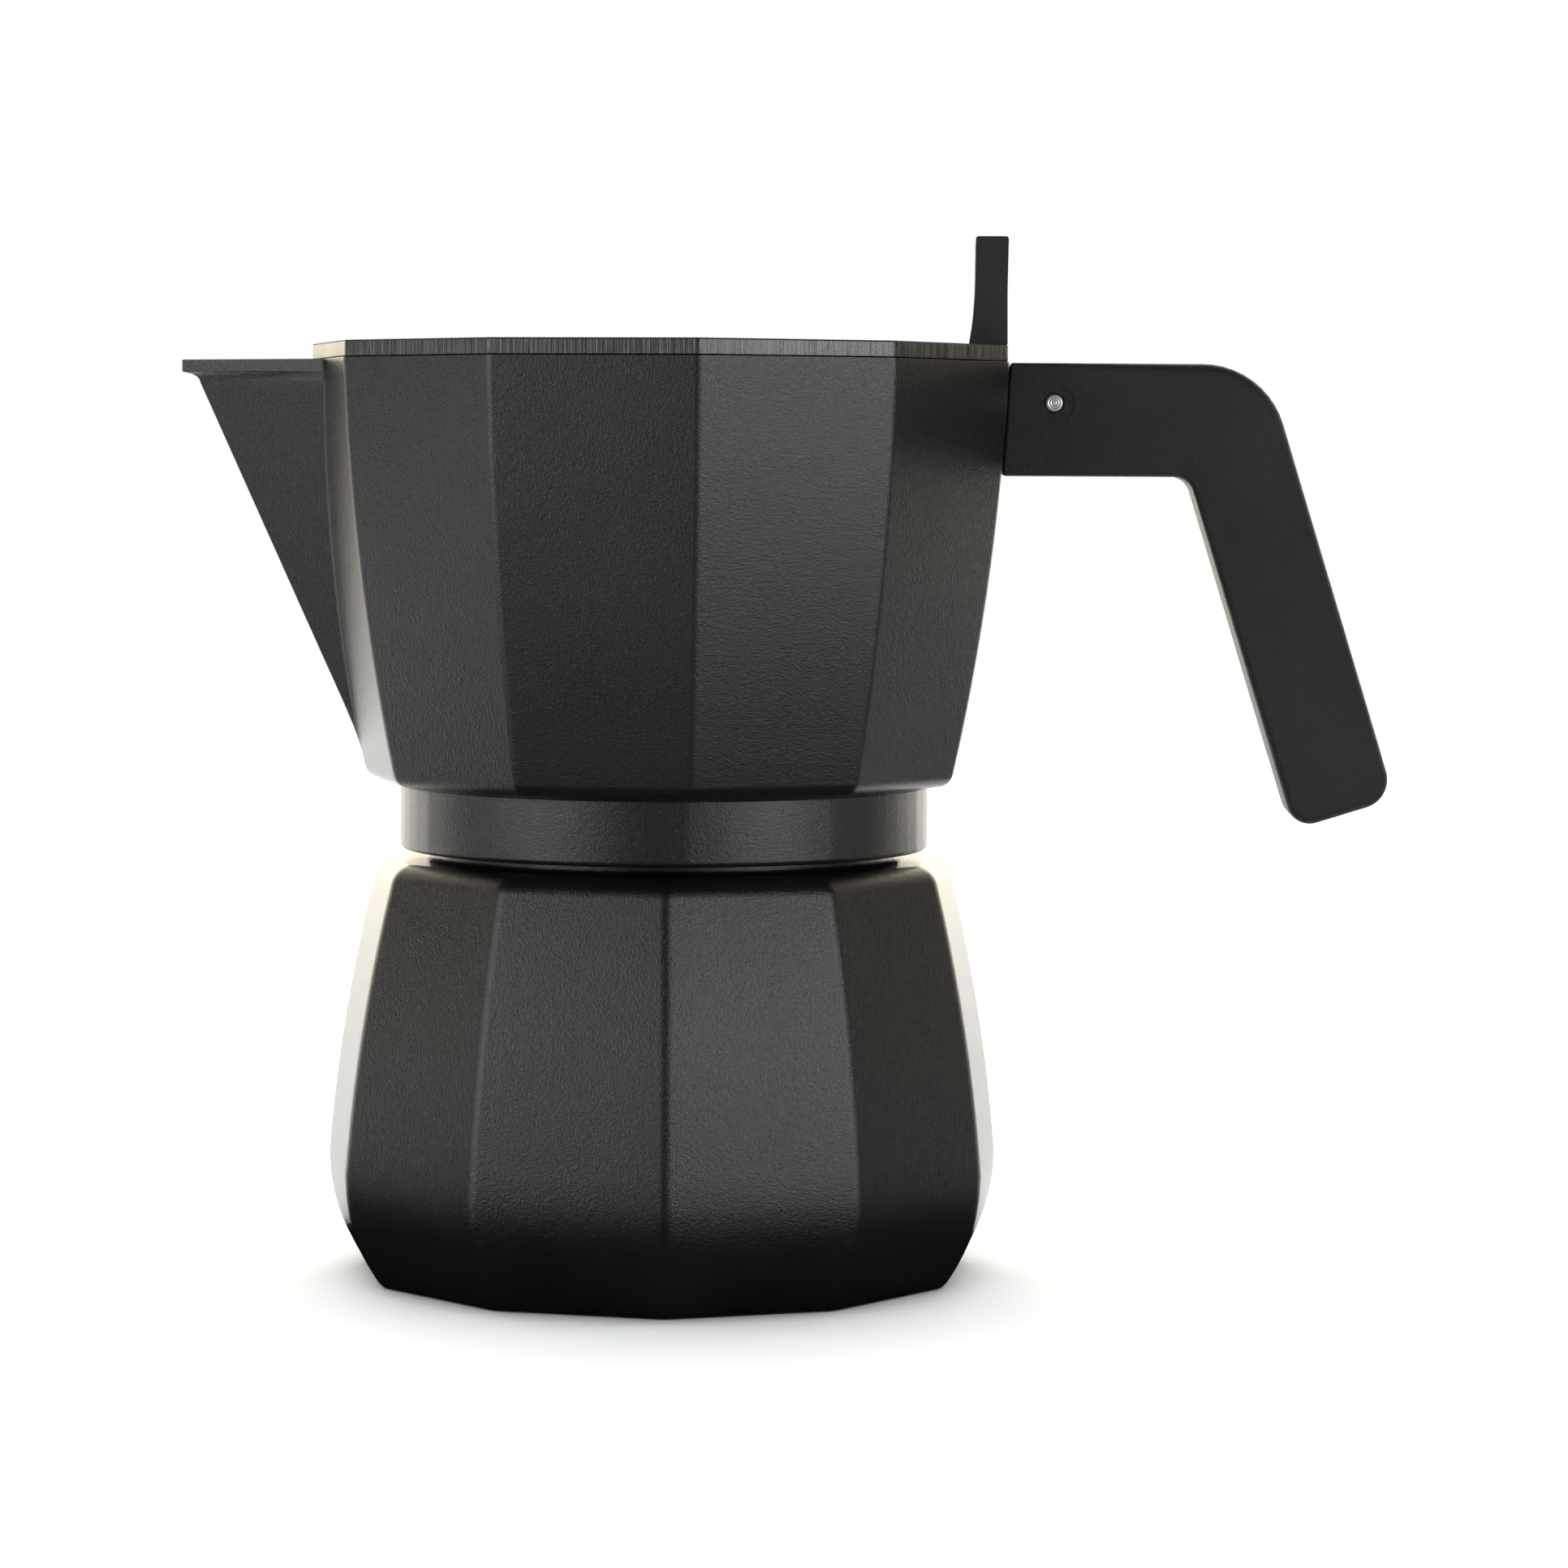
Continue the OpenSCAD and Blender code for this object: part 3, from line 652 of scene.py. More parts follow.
aluminium = bare_metal("bare_aluminium", (0.72, 0.73, 0.74), 0.34, (0.05, 0.05, 1.0))
brass = bare_metal("valve_brass", (0.68, 0.48, 0.2), 0.26, (1, 0.1, 1))
steel = bare_metal("spring_steel", (0.58, 0.57, 0.55), 0.25)
rubber = seal_rubber()

# %% [markdown]
# ## Sizes
# The places come from the frame: the collector's box gives the rim, the skirt's lower edge and
# the spout's reach, the boiler's gives the neck. Only the radii of the facets, which no box
# tells, are repeated here in millimetres.

# %% Sizes
SIDES = 11
STEP = 2 * math.pi / SIDES
FLAT = math.cos(STEP / 2)
THREAD_STOP_TURN = math.radians(-4.42)
THREAD_PITCH = 2.5 * MM
CORNER_REACH = 0.55 * MM

rim_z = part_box("collector")[1][2]
skirt_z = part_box("collector")[0][2]
spout_reach = -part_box("collector")[0][0]
neck_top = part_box("boiler")[1][2]
print("rim at", round(rim_z, 4), "skirt at", round(skirt_z, 4), "neck at", round(neck_top, 4))


def facets(radius, turn, reach=CORNER_REACH):
    """Corners of the eleven-sided outline, ready for outline()."""
    turns = [turn + i * STEP for i in range(SIDES)]
    return [(radius * math.cos(a), radius * math.sin(a), reach) for a in turns]


def level(points, height):
    """Flat points lifted to a height."""
    return [Vector((p.x, p.y, height)) for p in points]


def rounded_like(points, radius, height):
    """A round ring whose points lie on the same rays as the given outline's."""
    return [Vector((*(p.xy.normalized() * radius), height)) for p in points]


# %% [markdown]
# ## Boiler
# The boiler is one casting: a foot that curves out to the belly, sides that lean in to a
# shoulder, and a neck with the screw thread. It is hollow, so the skin goes up the outside,
# over the neck's edge and down the inside to the floor.

# %% Boiler outlines
FOOT_R, BELLY_R, SHOULDER_R = 41.5 * MM, 46.95 * MM, 39.7 * MM
BELLY_Z, SHOULDER_Z = 15.5 * MM, 57.2 * MM
BOILER_WALL, BOILER_FLOOR = 2.6 * MM, 3.2 * MM
NECK_CORE_R, NECK_BORE_R = 32.1 * MM, 28.9 * MM
BOILER_CORNER = 0.85 * MM
foot_drop = BELLY_R - FOOT_R
belly_bow = (BELLY_Z ** 2 + foot_drop ** 2) / (2 * foot_drop)
BELLY_SHARE = 0.45


def boiler_radius(z):
    """Corner radius of the boiler at a height."""
    if z <= BELLY_Z:
        return BELLY_R - belly_bow + math.sqrt(belly_bow ** 2 - (BELLY_Z - z) ** 2)
    t = (z - BELLY_Z) / (SHOULDER_Z - BELLY_Z)
    return BELLY_R - (BELLY_R - SHOULDER_R) * (BELLY_SHARE * t + (1 - BELLY_SHARE) * t * t)


def boiler_ring(radius, z):
    return level(outline(facets(radius, math.pi + THREAD_STOP_TURN, BOILER_CORNER)), z)


def boiler_rings():
    """Rings from the foot, up the wall, over the shoulder and neck and down the inside."""
    wall = [(boiler_radius(z * MM), z * MM) for z in
            (0.6, 1.5, 3, 5, 7.5, 10, 12.5, 15.5, 19, 23, 27, 31, 35, 39, 43, 47, 50.5)]
    shoulder = softened([(boiler_radius(50.5 * MM), 50.5 * MM, 0),
                         (SHOULDER_R, SHOULDER_Z, 4.2 * MM),
                         (34.5 * MM, SHOULDER_Z, 0)], 7)[1:-1]
    foot = [(FOOT_R - 1.4 * MM, 0), (FOOT_R - 0.45 * MM, 0), (FOOT_R - 0.1 * MM, 0.15 * MM)]
    outside = [boiler_ring(r, z) for r, z in foot + wall + [tuple(p) for p in shoulder]]
    round_path = softened([(34.2 * MM, SHOULDER_Z, 0),
                           (NECK_CORE_R, SHOULDER_Z, 0.8 * MM),
                           (NECK_CORE_R, neck_top, 0.5 * MM),
                           (NECK_BORE_R, neck_top, 0.5 * MM),
                           (NECK_BORE_R, SHOULDER_Z, 0.8 * MM),
                           (boiler_radius(51 * MM) * FLAT - BOILER_WALL, 51 * MM, 3 * MM),
                           (BELLY_R * FLAT - BOILER_WALL, BELLY_Z, 6 * MM),
                           (FOOT_R * FLAT - 1 * MM, BOILER_FLOOR, 4 * MM),
                           (20 * MM, BOILER_FLOOR, 0)])
    return outside + [rounded_like(outside[0], r, z) for r, z in round_path]


boiler = skin("boiler_casting", boiler_rings())

# %% [markdown]
# The valve screws into a flat boss on the rear facet. Its axis is a direction from the centre
# of the pot, so a small helper lays any upright shape down along it.

# %% Boiler boss and thread
VALVE_TURN = math.pi + THREAD_STOP_TURN - 2.5 * STEP
VALVE_Z = 33 * MM
VALVE_SHANK_R = 4.9 * MM
BOSS_R = 8 * MM
valve_face = boiler_radius(VALVE_Z - BOSS_R) * FLAT + 0.32 * MM
lay_down = (Matrix.Translation((0, 0, VALVE_Z)) @ Matrix.Rotation(VALVE_TURN, 4, "Z")
            @ Matrix.Rotation(math.pi / 2, 4, "Y"))


def along_valve(point):
    """An upright point laid along the valve's axis."""
    return lay_down @ point


boss = lathe("boss", softened([(0.2 * MM, valve_face - 6 * MM, 0),
                               (BOSS_R, valve_face - 6 * MM, 0),
                               (BOSS_R, valve_face, 0.5 * MM),
                               (0.2 * MM, valve_face, 0)]), 48, "caps", along_valve)
boolean(boiler, boss, "UNION")
bore = lathe("bore", [(VALVE_SHANK_R, valve_face - 12 * MM), (VALVE_SHANK_R, valve_face + MM)],
             48, "caps", along_valve)
boolean(boiler, bore, "DIFFERENCE")


def thread(name, root, crest, low, turns, width=0.95):
    """A ridge that climbs THREAD_PITCH a turn, thin at both ends. root and crest are radii."""
    steps = 48
    rings = []
    for i in range(int(turns * steps) + 1):
        a = 2 * math.pi * i / steps
        fade = max(0.02, min(1, i / 10, (turns * steps - i) / 10))
        tip = root + (crest - root) * fade
        z = low + THREAD_PITCH * a / (2 * math.pi)
        section = [(root, -width / 2), (tip, -width / 6), (tip, width / 6), (root, width / 2)]
        rings.append([Vector((r * math.cos(a), r * math.sin(a), z + dz * MM))
                      for r, dz in section])
    return skin(name, rings)


ridge = thread("neck_thread", NECK_CORE_R - 0.15 * MM, 32.95 * MM, 58.6 * MM, 1.9)
join(boiler, ridge)
finish_piece(boiler, boiler_coat, "base", "coated_boiler", "boiler")

# %% [markdown]
# ## Collector
# The collector carries the most shape: eleven facets that bow inwards to a rounded foot, a
# V-shaped spout that grows out of one corner, a lip that stands proud at the spout's tip, the
# threaded skirt below and the hinge ears behind. The spout is part of the outline itself: at
# each height two extra corners mark where its side panels leave the facets, and the third is
# its front edge. Where there is no spout yet, the three lie together on the plain corner.

# %% Collector outlines
RIM_R, COLLECTOR_FOOT_R = 48.8 * MM, 41.0 * MM
UNDER_Z, FLOOR_Z, SEAT_Z = 67.8 * MM, 72.8 * MM, 68.2 * MM
COLLECTOR_SHARE = 0.27
COLLECTOR_WALL, SPOUT_WALL = 2.3 * MM, 1.9 * MM
SPOUT_FOOT_Z = FLOOR_Z - 0.6 * MM
LIP_OUT, LIP_T, LIP_ROUND = 2.5 * MM, 1.7 * MM, 1.4 * MM
SPOUT_HALF_ANGLE = math.radians(30)
SKIRT_R = 36.3 * MM
LEAN = math.pi / 2 - STEP / 2
front_r = spout_reach - LIP_OUT
lip_foot = rim_z - LIP_T - LIP_ROUND
FILLET = 0.5 * MM
TIP_REACH = 0.5 * MM


def collector_radius(z):
    """Corner radius of the collector at a height."""
    t = (rim_z - z) / (rim_z - UNDER_Z)
    return RIM_R - (RIM_R - COLLECTOR_FOOT_R) * (COLLECTOR_SHARE * t + (1 - COLLECTOR_SHARE) * t * t)


def spout_front(z):
    """Distance of the spout's front edge from the axis at a height, without the lip."""
    foot = collector_radius(SPOUT_FOOT_Z)
    return foot + (front_r - foot) * (z - SPOUT_FOOT_Z) / (lip_foot - SPOUT_FOOT_Z)


def spouted(radius, front, lip=0.0, fillet=FILLET):
    """The outline at one height: facets, and the spout out to front, with lip added to it."""
    corners = facets(radius, math.pi)
    spur = max(front - radius, 0)
    along = spur / (math.sin(LEAN) / math.tan(SPOUT_HALF_ANGLE) - math.cos(LEAN))
    along = max(along, 0.9 * MM)
    root = Vector(corners[0][:2])
    ahead = (Vector(corners[1][:2]) - root).normalized() * along
    back = (Vector(corners[-1][:2]) - root).normalized() * along
    tip_reach = CORNER_REACH + (TIP_REACH - CORNER_REACH) * min(1, spur / (5 * MM))
    joint_reach = min(fillet, 0.4 * along)
    tip = (-max(front, radius) - lip, 0, tip_reach)
    return outline([(*(root + back), joint_reach), tip, (*(root + ahead), joint_reach)]
                   + corners[1:])


def collector_rings():
    """Up the outside, over the rim, down the inside, and back through the column's bore."""
    outer = []
    wall_start = 71.3 * MM
    for r, z in softened([(collector_radius(wall_start), wall_start, 0),
                          (COLLECTOR_FOOT_R, UNDER_Z, 3.6 * MM), (SKIRT_R, UNDER_Z, 0)], 7)[-2:0:-1]:
        ring = level(spouted(r, 0), z)
        outer.append([p if p.xy.length > SKIRT_R + 0.05 * MM else
                      Vector((*(p.xy.normalized() * (SKIRT_R + 0.05 * MM)), p.z)) for p in ring])
    heights = [71.9, 73, 75, 78, 82, 86, 90, 94, 98, 102, 106, 110, 114, 118, 121]
    for z in [h * MM for h in heights] + [lip_foot]:
        outer.append(level(spouted(collector_radius(z), spout_front(z)), z))
    lip_curve = ((0.3, 0.05), (0.55, 0.18), (0.8, 0.45), (0.93, 0.75), (1.0, 0.93), (1.08, 1.0))
    for rise, share in lip_curve:
        z = lip_foot + LIP_ROUND * rise
        outer.append(level(spouted(collector_radius(z), spout_front(lip_foot), LIP_OUT * share), z))
    edge = ((0.14, 0.0), (0.04, 0.02), (0.0, 0.12))
    for drop, inset in edge:
        z = rim_z - drop * MM
        outer.append(level(spouted(RIM_R - inset * MM, spout_front(lip_foot) - inset * MM, LIP_OUT), z))
    inner = []
    inset = COLLECTOR_WALL / FLAT
    tip_inset = SPOUT_WALL / math.sin(SPOUT_HALF_ANGLE)
    for drop, grow_by in ((0.0, 0.25), (0.15, 0.06), (0.45, 0.0)):
        z = rim_z - drop * MM
        radius = collector_radius(z) - inset + grow_by * MM
        inner.append(level(spouted(radius, spout_front(z) - tip_inset + 2 * grow_by * MM), z))
    for h in (121, 117, 113, 109, 105, 101, 97, 93, 89, 85, 81, 77.5):
        z = h * MM
        inner.append(level(spouted(collector_radius(z) - inset, spout_front(z) - tip_inset), z))
    base_r = collector_radius(77.5 * MM) - inset - 0.6 * MM
    for r, z in softened([(base_r, 77 * MM, 0), (base_r - 1.2 * MM, FLOOR_Z, 4.2 * MM),
                          (20 * MM, FLOOR_Z, 0)], 6)[1:-1]:
        inner.append(level(spouted(r, 0), z))
    return outer, inner


COLUMN_R, COLUMN_BORE_R = 5 * MM, 3.4 * MM
HUB_TOP = FLOOR_Z + 5.5 * MM
SKIRT_BORE_R = 33.3 * MM
GALLERY_Z = SEAT_Z + 0.6 * MM


def collector_skin():
    outer, inner = collector_rings()
    rays = outer[0]
    under = softened([(COLUMN_BORE_R, 71 * MM, 0), (22 * MM, GALLERY_Z, 0.5 * MM),
                      (28.1 * MM, GALLERY_Z, 0.1 * MM), (28.1 * MM, SEAT_Z, 0.1 * MM),
                      (33.2 * MM, SEAT_Z, 0.2 * MM), (SKIRT_BORE_R, SEAT_Z - 0.6 * MM, 0.2 * MM),
                      (SKIRT_BORE_R, skirt_z + 0.8 * MM, 0.3 * MM), (34.1 * MM, skirt_z, 0.3 * MM),
                      (SKIRT_R, skirt_z, 0.7 * MM), (SKIRT_R, UNDER_Z - 0.6 * MM, 0)], 3)
    hub = softened([(10.4 * MM, FLOOR_Z, 0), (9.3 * MM, FLOOR_Z + 0.5 * MM, 1 * MM),
                    (8.2 * MM, HUB_TOP, 0.9 * MM), (COLUMN_R, HUB_TOP, 0.4 * MM),
                    (COLUMN_R, FLOOR_Z - 0.8 * MM, 0), (COLUMN_BORE_R, FLOOR_Z - 0.8 * MM, 0)], 4)
    rings = [rounded_like(rays, r, z) for r, z in under]
    rings += outer + inner
    rings += [rounded_like(rays, r, z) for r, z in hub]
    return skin("collector_casting", rings, "loop")


collector = collector_skin()

# %% [markdown]
# Behind, two ears carry the hinge pin and hold the handle, and a notch in the wall lets the
# lid's tongue through. The ears are plates welded on with a union, then one bore goes through
# both.

# %% Hinge ears and notch
back_x = RIM_R * FLAT
pin_x = back_x + 6.2 * MM
pin_z = rim_z - 5.4 * MM
PIN_R = 1.33 * MM
KNUCKLE_HALF = 2.5 * MM
EAR_GAP, EAR_T = 0.25 * MM, 1.9 * MM
ear_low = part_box("handle")[1][2] - 13.2 * MM


def plate(name, corners, low_y, high_y, arc_steps=6, edge=0.0, flat_steps=2):
    """A plate across the pot: an outline in X and Z with rounded edges."""
    points = outline(corners, arc_steps, flat_steps)
    count = len(points)
    normals = []
    for i in range(count):
        tangent = (points[(i + 1) % count] - points[i - 1]).normalized()
        normals.append(Vector((tangent.y, -tangent.x)))
    area = sum(points[i - 1].x * points[i].y - points[i].x * points[i - 1].y for i in range(count))
    side = 1 if area > 0 else -1
    rings = []
    turns = [math.radians(a) for a in (90, 60, 30, 0)] if edge else [0]
    for end, sign in ((low_y, 1), (high_y, -1)):
        group = []
        for a in turns:
            inset, rise = edge * (1 - math.cos(a)), edge * (1 - math.sin(a))
            group.append([Vector((p.x - side * n.x * inset, end + sign * rise,
                                  p.y - side * n.y * inset)) for p, n in zip(points, normals)])
        rings += group if sign == 1 else group[::-1]
    return skin(name, rings)


def cross_bore(name, radius, low_y, high_y, steps=40):
    """A round tool along Y on the hinge's axis."""
    rings = [[Vector((pin_x + p.x, y, pin_z + p.y)) for p in circle(radius, 0, steps)]
             for y in (low_y, high_y)]
    return skin(name, rings)


for side in (-1, 1):
    inner_y = side * (KNUCKLE_HALF + EAR_GAP)
    outer_y = inner_y + side * EAR_T
    ear = plate("ear", [(back_x - 1.1 * MM, ear_low, 0), (pin_x + 4.4 * MM, ear_low, 2 * MM),
                        (pin_x + 4.4 * MM, rim_z - 0.5 * MM, 2.2 * MM),
                        (back_x - 1.1 * MM, rim_z - 0.5 * MM, 0)],
                min(inner_y, outer_y), max(inner_y, outer_y), edge=0.25 * MM)
    boolean(collector, ear, "UNION")
notch_half = KNUCKLE_HALF + EAR_GAP
notch = block("notch", (back_x - 5 * MM, -notch_half, pin_z - 1.1 * MM),
              (back_x + 2 * MM, notch_half, rim_z + 3 * MM))
boolean(collector, notch, "DIFFERENCE")
boolean(collector, cross_bore("ear_bore", PIN_R, -8 * MM, 8 * MM), "DIFFERENCE")
skirt_ridge = thread("skirt_thread", SKIRT_BORE_R + 0.15 * MM, 32.5 * MM, 59.85 * MM, 1.7)
join(collector, skirt_ridge)
finish_piece(collector, collector_coat, "top", "coated_collector", "collector")

# %% [markdown]
# ## Column
# The column is a tube pressed into the hub, with a cap that sends the coffee out sideways
# through two ports. Both are bare metal, and both are simple lathe shapes.

# %% Column and cap
column_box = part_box("column")
cap_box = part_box("column_cap")
column = lathe("column_tube", softened([
    (COLUMN_BORE_R, column_box[0][2], 0), (COLUMN_R, column_box[0][2], 0),
    (COLUMN_R, column_box[1][2], 0.3 * MM), (COLUMN_BORE_R, column_box[1][2], 0.3 * MM),
    (COLUMN_BORE_R, column_box[0][2] + 0.2 * MM, 0)]), 64)
finish_piece(column, aluminium, "top", "bare_aluminium", "column")

CAP_R, OUTLET_R = 6.4 * MM, 1.6 * MM
cap_low, cap_high = cap_box[0][2], cap_box[1][2]
column_top = column_box[1][2]
cap = lathe("column_cap_turned", softened([
    (COLUMN_R + 0.02 * MM, cap_low, 0), (CAP_R, cap_low, 0.5 * MM),
    (CAP_R - 0.6 * MM, cap_high, 2.4 * MM), (0.3 * MM, cap_high + 0.0 * MM, 0)], 6)
    + [Vector((0.3 * MM, cap_high - 5 * MM)), Vector((COLUMN_BORE_R, cap_high - 5 * MM)),
       Vector((COLUMN_BORE_R, column_top)), Vector((COLUMN_R + 0.02 * MM, column_top))], 64)
port_z = column_top + OUTLET_R + 0.2 * MM
port = skin("port", [[Vector((p.x, y, port_z + p.y)) for p in circle(OUTLET_R, 0, 32)]
                     for y in (-9 * MM, 9 * MM)])
boolean(cap, port, "DIFFERENCE")
finish_piece(cap, aluminium, "top", "bare_aluminium", "column_cap")

# %% [markdown]
# ## Lid
# The lid is a flat eleven-sided plate with a low ring under it that finds the body, and a
# tongue that reaches back through the notch to the pin.

# %% Lid
lid_low, lid_top = rim_z + 0.1 * MM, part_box("lid")[1][2]
LID_R = RIM_R - 0.2 * MM
RING_R, RING_W, RING_H = RIM_R - COLLECTOR_WALL / FLAT - 1 * MM, 1.4 * MM, 1.2 * MM


def lid_ring(radius, z):
    return level(outline(facets(radius, math.pi, 0.4 * MM)), z)


lid_path = [(30 * MM, lid_low), (RING_R - RING_W - 0.3 * MM, lid_low), (RING_R - RING_W, lid_low - 0.2 * MM),
            (RING_R - RING_W + 0.05 * MM, lid_low - RING_H + 0.15 * MM),
            (RING_R - RING_W + 0.2 * MM, lid_low - RING_H), (RING_R - 0.2 * MM, lid_low - RING_H),
            (RING_R - 0.05 * MM, lid_low - RING_H + 0.15 * MM), (RING_R, lid_low - 0.2 * MM),
            (RING_R + 0.2 * MM, lid_low), (LID_R - 0.1 * MM, lid_low),
            (LID_R - 0.02 * MM, lid_low + 0.03 * MM), (LID_R, lid_low + 0.1 * MM),
            (LID_R, lid_top - 0.2 * MM), (LID_R - 0.05 * MM, lid_top - 0.06 * MM),
            (LID_R - 0.2 * MM, lid_top), (LID_R - 1.5 * MM, lid_top), (30 * MM, lid_top)]
lid = skin("lid_plate", [lid_ring(r, z) for r, z in lid_path])
knuckle_r = PIN_R + 2.05 * MM
tongue = plate("tongue", [
    (pin_x - 11 * MM, lid_low + 0.6 * MM, 0), (back_x - 0.4 * MM, lid_low + 0.6 * MM, 0),
    (back_x + 1.4 * MM, rim_z - 0.3 * MM, 1.5 * MM), (pin_x - 1 * MM, pin_z + knuckle_r - 0.05 * MM, 1 * MM),
    (pin_x, pin_z, 0), (pin_x - knuckle_r * 0.82, pin_z - knuckle_r * 0.57, 0),
    (pin_x - 8.5 * MM, pin_z + 1.9 * MM, 2 * MM), (pin_x - 11 * MM, pin_z + 3.2 * MM, 0)],
    -KNUCKLE_HALF, KNUCKLE_HALF, edge=0.2 * MM)
boolean(lid, tongue, "UNION")
boolean(lid, cross_bore("knuckle", knuckle_r, -KNUCKLE_HALF, KNUCKLE_HALF, 48), "UNION")
boolean(lid, cross_bore("knuckle_bore", PIN_R + 0.05 * MM, -8 * MM, 8 * MM), "DIFFERENCE")
tab_x = LID_R * FLAT - 0.05 * MM
TAB_T, SCREW_Y, SCREW_R, SCREW_HEAD_R = 4.3 * MM, 6 * MM, 1.1 * MM, 2.1 * MM
screw_x = tab_x - TAB_T / 2


def screw_shape(name, side, gap):
    """The countersunk shape of a tab screw, standing on its head under the lid."""
    path = [(SCREW_HEAD_R + gap, lid_low - 2 * gap), (SCREW_HEAD_R + gap, lid_low + 0.1 * MM),
            (SCREW_R + gap, lid_low + 1.1 * MM), (SCREW_R + gap, lid_low + 5.5 * MM)]
    return lathe(name, path, 32, "caps",
                 lambda p: p + Vector((screw_x, side * SCREW_Y, 0)))


for side in (-1, 1):
    boolean(lid, screw_shape("screw_hole", side, 0.06 * MM), "DIFFERENCE")
finish_piece(lid, lid_coat(lid_top), "lid", "coated_lid", "lid")

# %% [markdown]
# ## Thumb tab and its screws
# The tab is a small moulded block, a touch thinner at mid-height so that the thumb finds it,
# and flared where it meets the lid. Two countersunk cross-head screws hold it from below.

# %% Thumb tab
tab_low, tab_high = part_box("thumb_tab")[0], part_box("thumb_tab")[1]
tab_mid = (tab_low[2] + tab_high[2]) / 2
front_x = tab_x - TAB_T
tab = plate("thumb_tab_moulding", [
    (front_x - 0.95 * MM, lid_top, 0.32 * MM), (tab_x + 0.02 * MM, lid_top, 0.32 * MM),
    (tab_x, lid_top + 2.5 * MM, 1.2 * MM), (tab_x - 0.05 * MM, tab_mid, 2 * MM),
    (tab_x + 0.08 * MM, tab_high[2], 0.4 * MM), (front_x - 0.08 * MM, tab_high[2], 0.4 * MM),
    (front_x - 0.14 * MM, tab_mid, 2 * MM), (front_x - 0.42 * MM, lid_top + 3.4 * MM, 1.5 * MM)],
    tab_low[1], tab_high[1], edge=0.25 * MM)
finish_piece(tab, moulding, "lid", "moulded_black", "thumb_tab")

for name, side in (("tab_screw_front", -1), ("tab_screw_rear", 1)):
    screw = screw_shape(name, side, 0.0)
    for half in ((1.2, 0.28), (0.28, 1.2)):
        low = Vector((screw_x - half[0] * MM, side * SCREW_Y - half[1] * MM, lid_low - MM))
        high = Vector((screw_x + half[0] * MM, side * SCREW_Y + half[1] * MM, lid_low + 0.7 * MM))
        boolean(screw, block("cross", low, high), "DIFFERENCE")
    finish_piece(screw, steel, "lid", "pin_steel", *(["tab_screws"] if side == -1 else []))

# %% [markdown]
# ## Hinge pin
# One ground steel pin does two jobs: the lid turns on it and it holds the handle. Its ends are
# faced on a lathe, so the finish has fine rings round the pin's axis.

# %% Hinge pin
pin_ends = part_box("hinge_pin")
TIP_R = 1.2 * MM
pin_rings = []
for end, sign in ((pin_ends[0][1], 1), (pin_ends[1][1], -1)):
    group = [(0.5 * MM, 0.02), (TIP_R - 0.15 * MM, 0.0), (TIP_R, 0.12), (TIP_R, 1.75), (PIN_R, 1.8)]
    made = [[Vector((pin_x + p.x, end + sign * back * MM, pin_z + p.y)) for p in circle(r, 0, 48)]
            for r, back in group]
    pin_rings += made if sign == 1 else made[::-1]
pin = skin("hinge_pin_turned", pin_rings)
finish_piece(pin, turned_steel("pin_steel", (pin_x, 0, pin_z)), "top", "pin_steel", "hinge_pin")

# %% [markdown]
# ## Handle
# The handle is one moulding. Its outline is a level bar, a wide bend and a straight grip with
# a square-cut end, and it is thick enough to hold comfortably. The edge at the back, where the
# palm goes, is rounded more than the edge by the fingers, so each point of the outline has an
# edge radius of its own.

# %% Handle outline
HANDLE_T = 14 * MM
BAR_H, BAR_LEN = 15.3 * MM, 25.24 * MM
GRIP_W, GRIP_LEN = 14.3 * MM, 50 * MM
GRIP_LEAN = math.radians(17.2)
BODY_GAP = 0.15 * MM
handle_low = rim_z - BAR_H
down = Vector((math.sin(GRIP_LEAN), -math.cos(GRIP_LEAN)))
out = Vector((math.cos(GRIP_LEAN), math.sin(GRIP_LEAN)))
front_top = Vector((RIM_R * FLAT + BODY_GAP, rim_z))
front_low = Vector((collector_radius(handle_low) * FLAT + BODY_GAP, handle_low))
bend = front_low + Vector((BAR_LEN, 0))
low_in = bend + down * GRIP_LEN
low_out = low_in + out * GRIP_W
top_out = low_out - down * ((rim_z - low_out.y) / math.cos(GRIP_LEAN))
turn_half = (math.pi / 2 - GRIP_LEAN) / 2
handle_corners = [
    (*front_low, 0.5 * MM), (*bend, 2.8 * MM * math.tan(turn_half)), (*low_in, 3.2 * MM),
    (*low_out, 4 * MM), (*top_out, 11.5 * MM * math.tan(turn_half)), (*front_top, 0.5 * MM)]
EDGE_RADII = [0.5 * MM, 0.8 * MM, 1.2 * MM, 1.6 * MM, 1.8 * MM, 0.5 * MM]


def edge_radius(index, arc_steps, flat_steps):
    """Edge radius at one point of the outline, blended along the sides."""
    block_size = arc_steps + flat_steps
    corner, place = divmod(index, block_size)
    here, following = EDGE_RADII[corner], EDGE_RADII[(corner + 1) % len(EDGE_RADII)]
    t = max(0, place - arc_steps) / flat_steps
    return here + (following - here) * t * t * (3 - 2 * t)


def handle_rings(arc_steps=10, flat_steps=12):
    points = outline(handle_corners, arc_steps, flat_steps)
    count = len(points)
    rings = []
    turns = [math.radians(a) for a in (90, 75, 60, 45, 30, 15, 0)]
    for sign in (-1, 1):
        group = []
        for a in turns:
            ring = []
            for i, p in enumerate(points):
                tangent = (points[(i + 1) % count] - points[i - 1]).normalized()
                normal = Vector((tangent.y, -tangent.x))
                radius = edge_radius(i, arc_steps, flat_steps)
                spot = p - normal * radius * (1 - math.cos(a))
                y = sign * (HANDLE_T / 2 - radius * (1 - math.sin(a)))
                ring.append(Vector((spot.x, y, spot.y)))
            group.append(ring)
        rings += group if sign == -1 else group[::-1]
    return rings


handle = skin("handle_moulding", handle_rings())

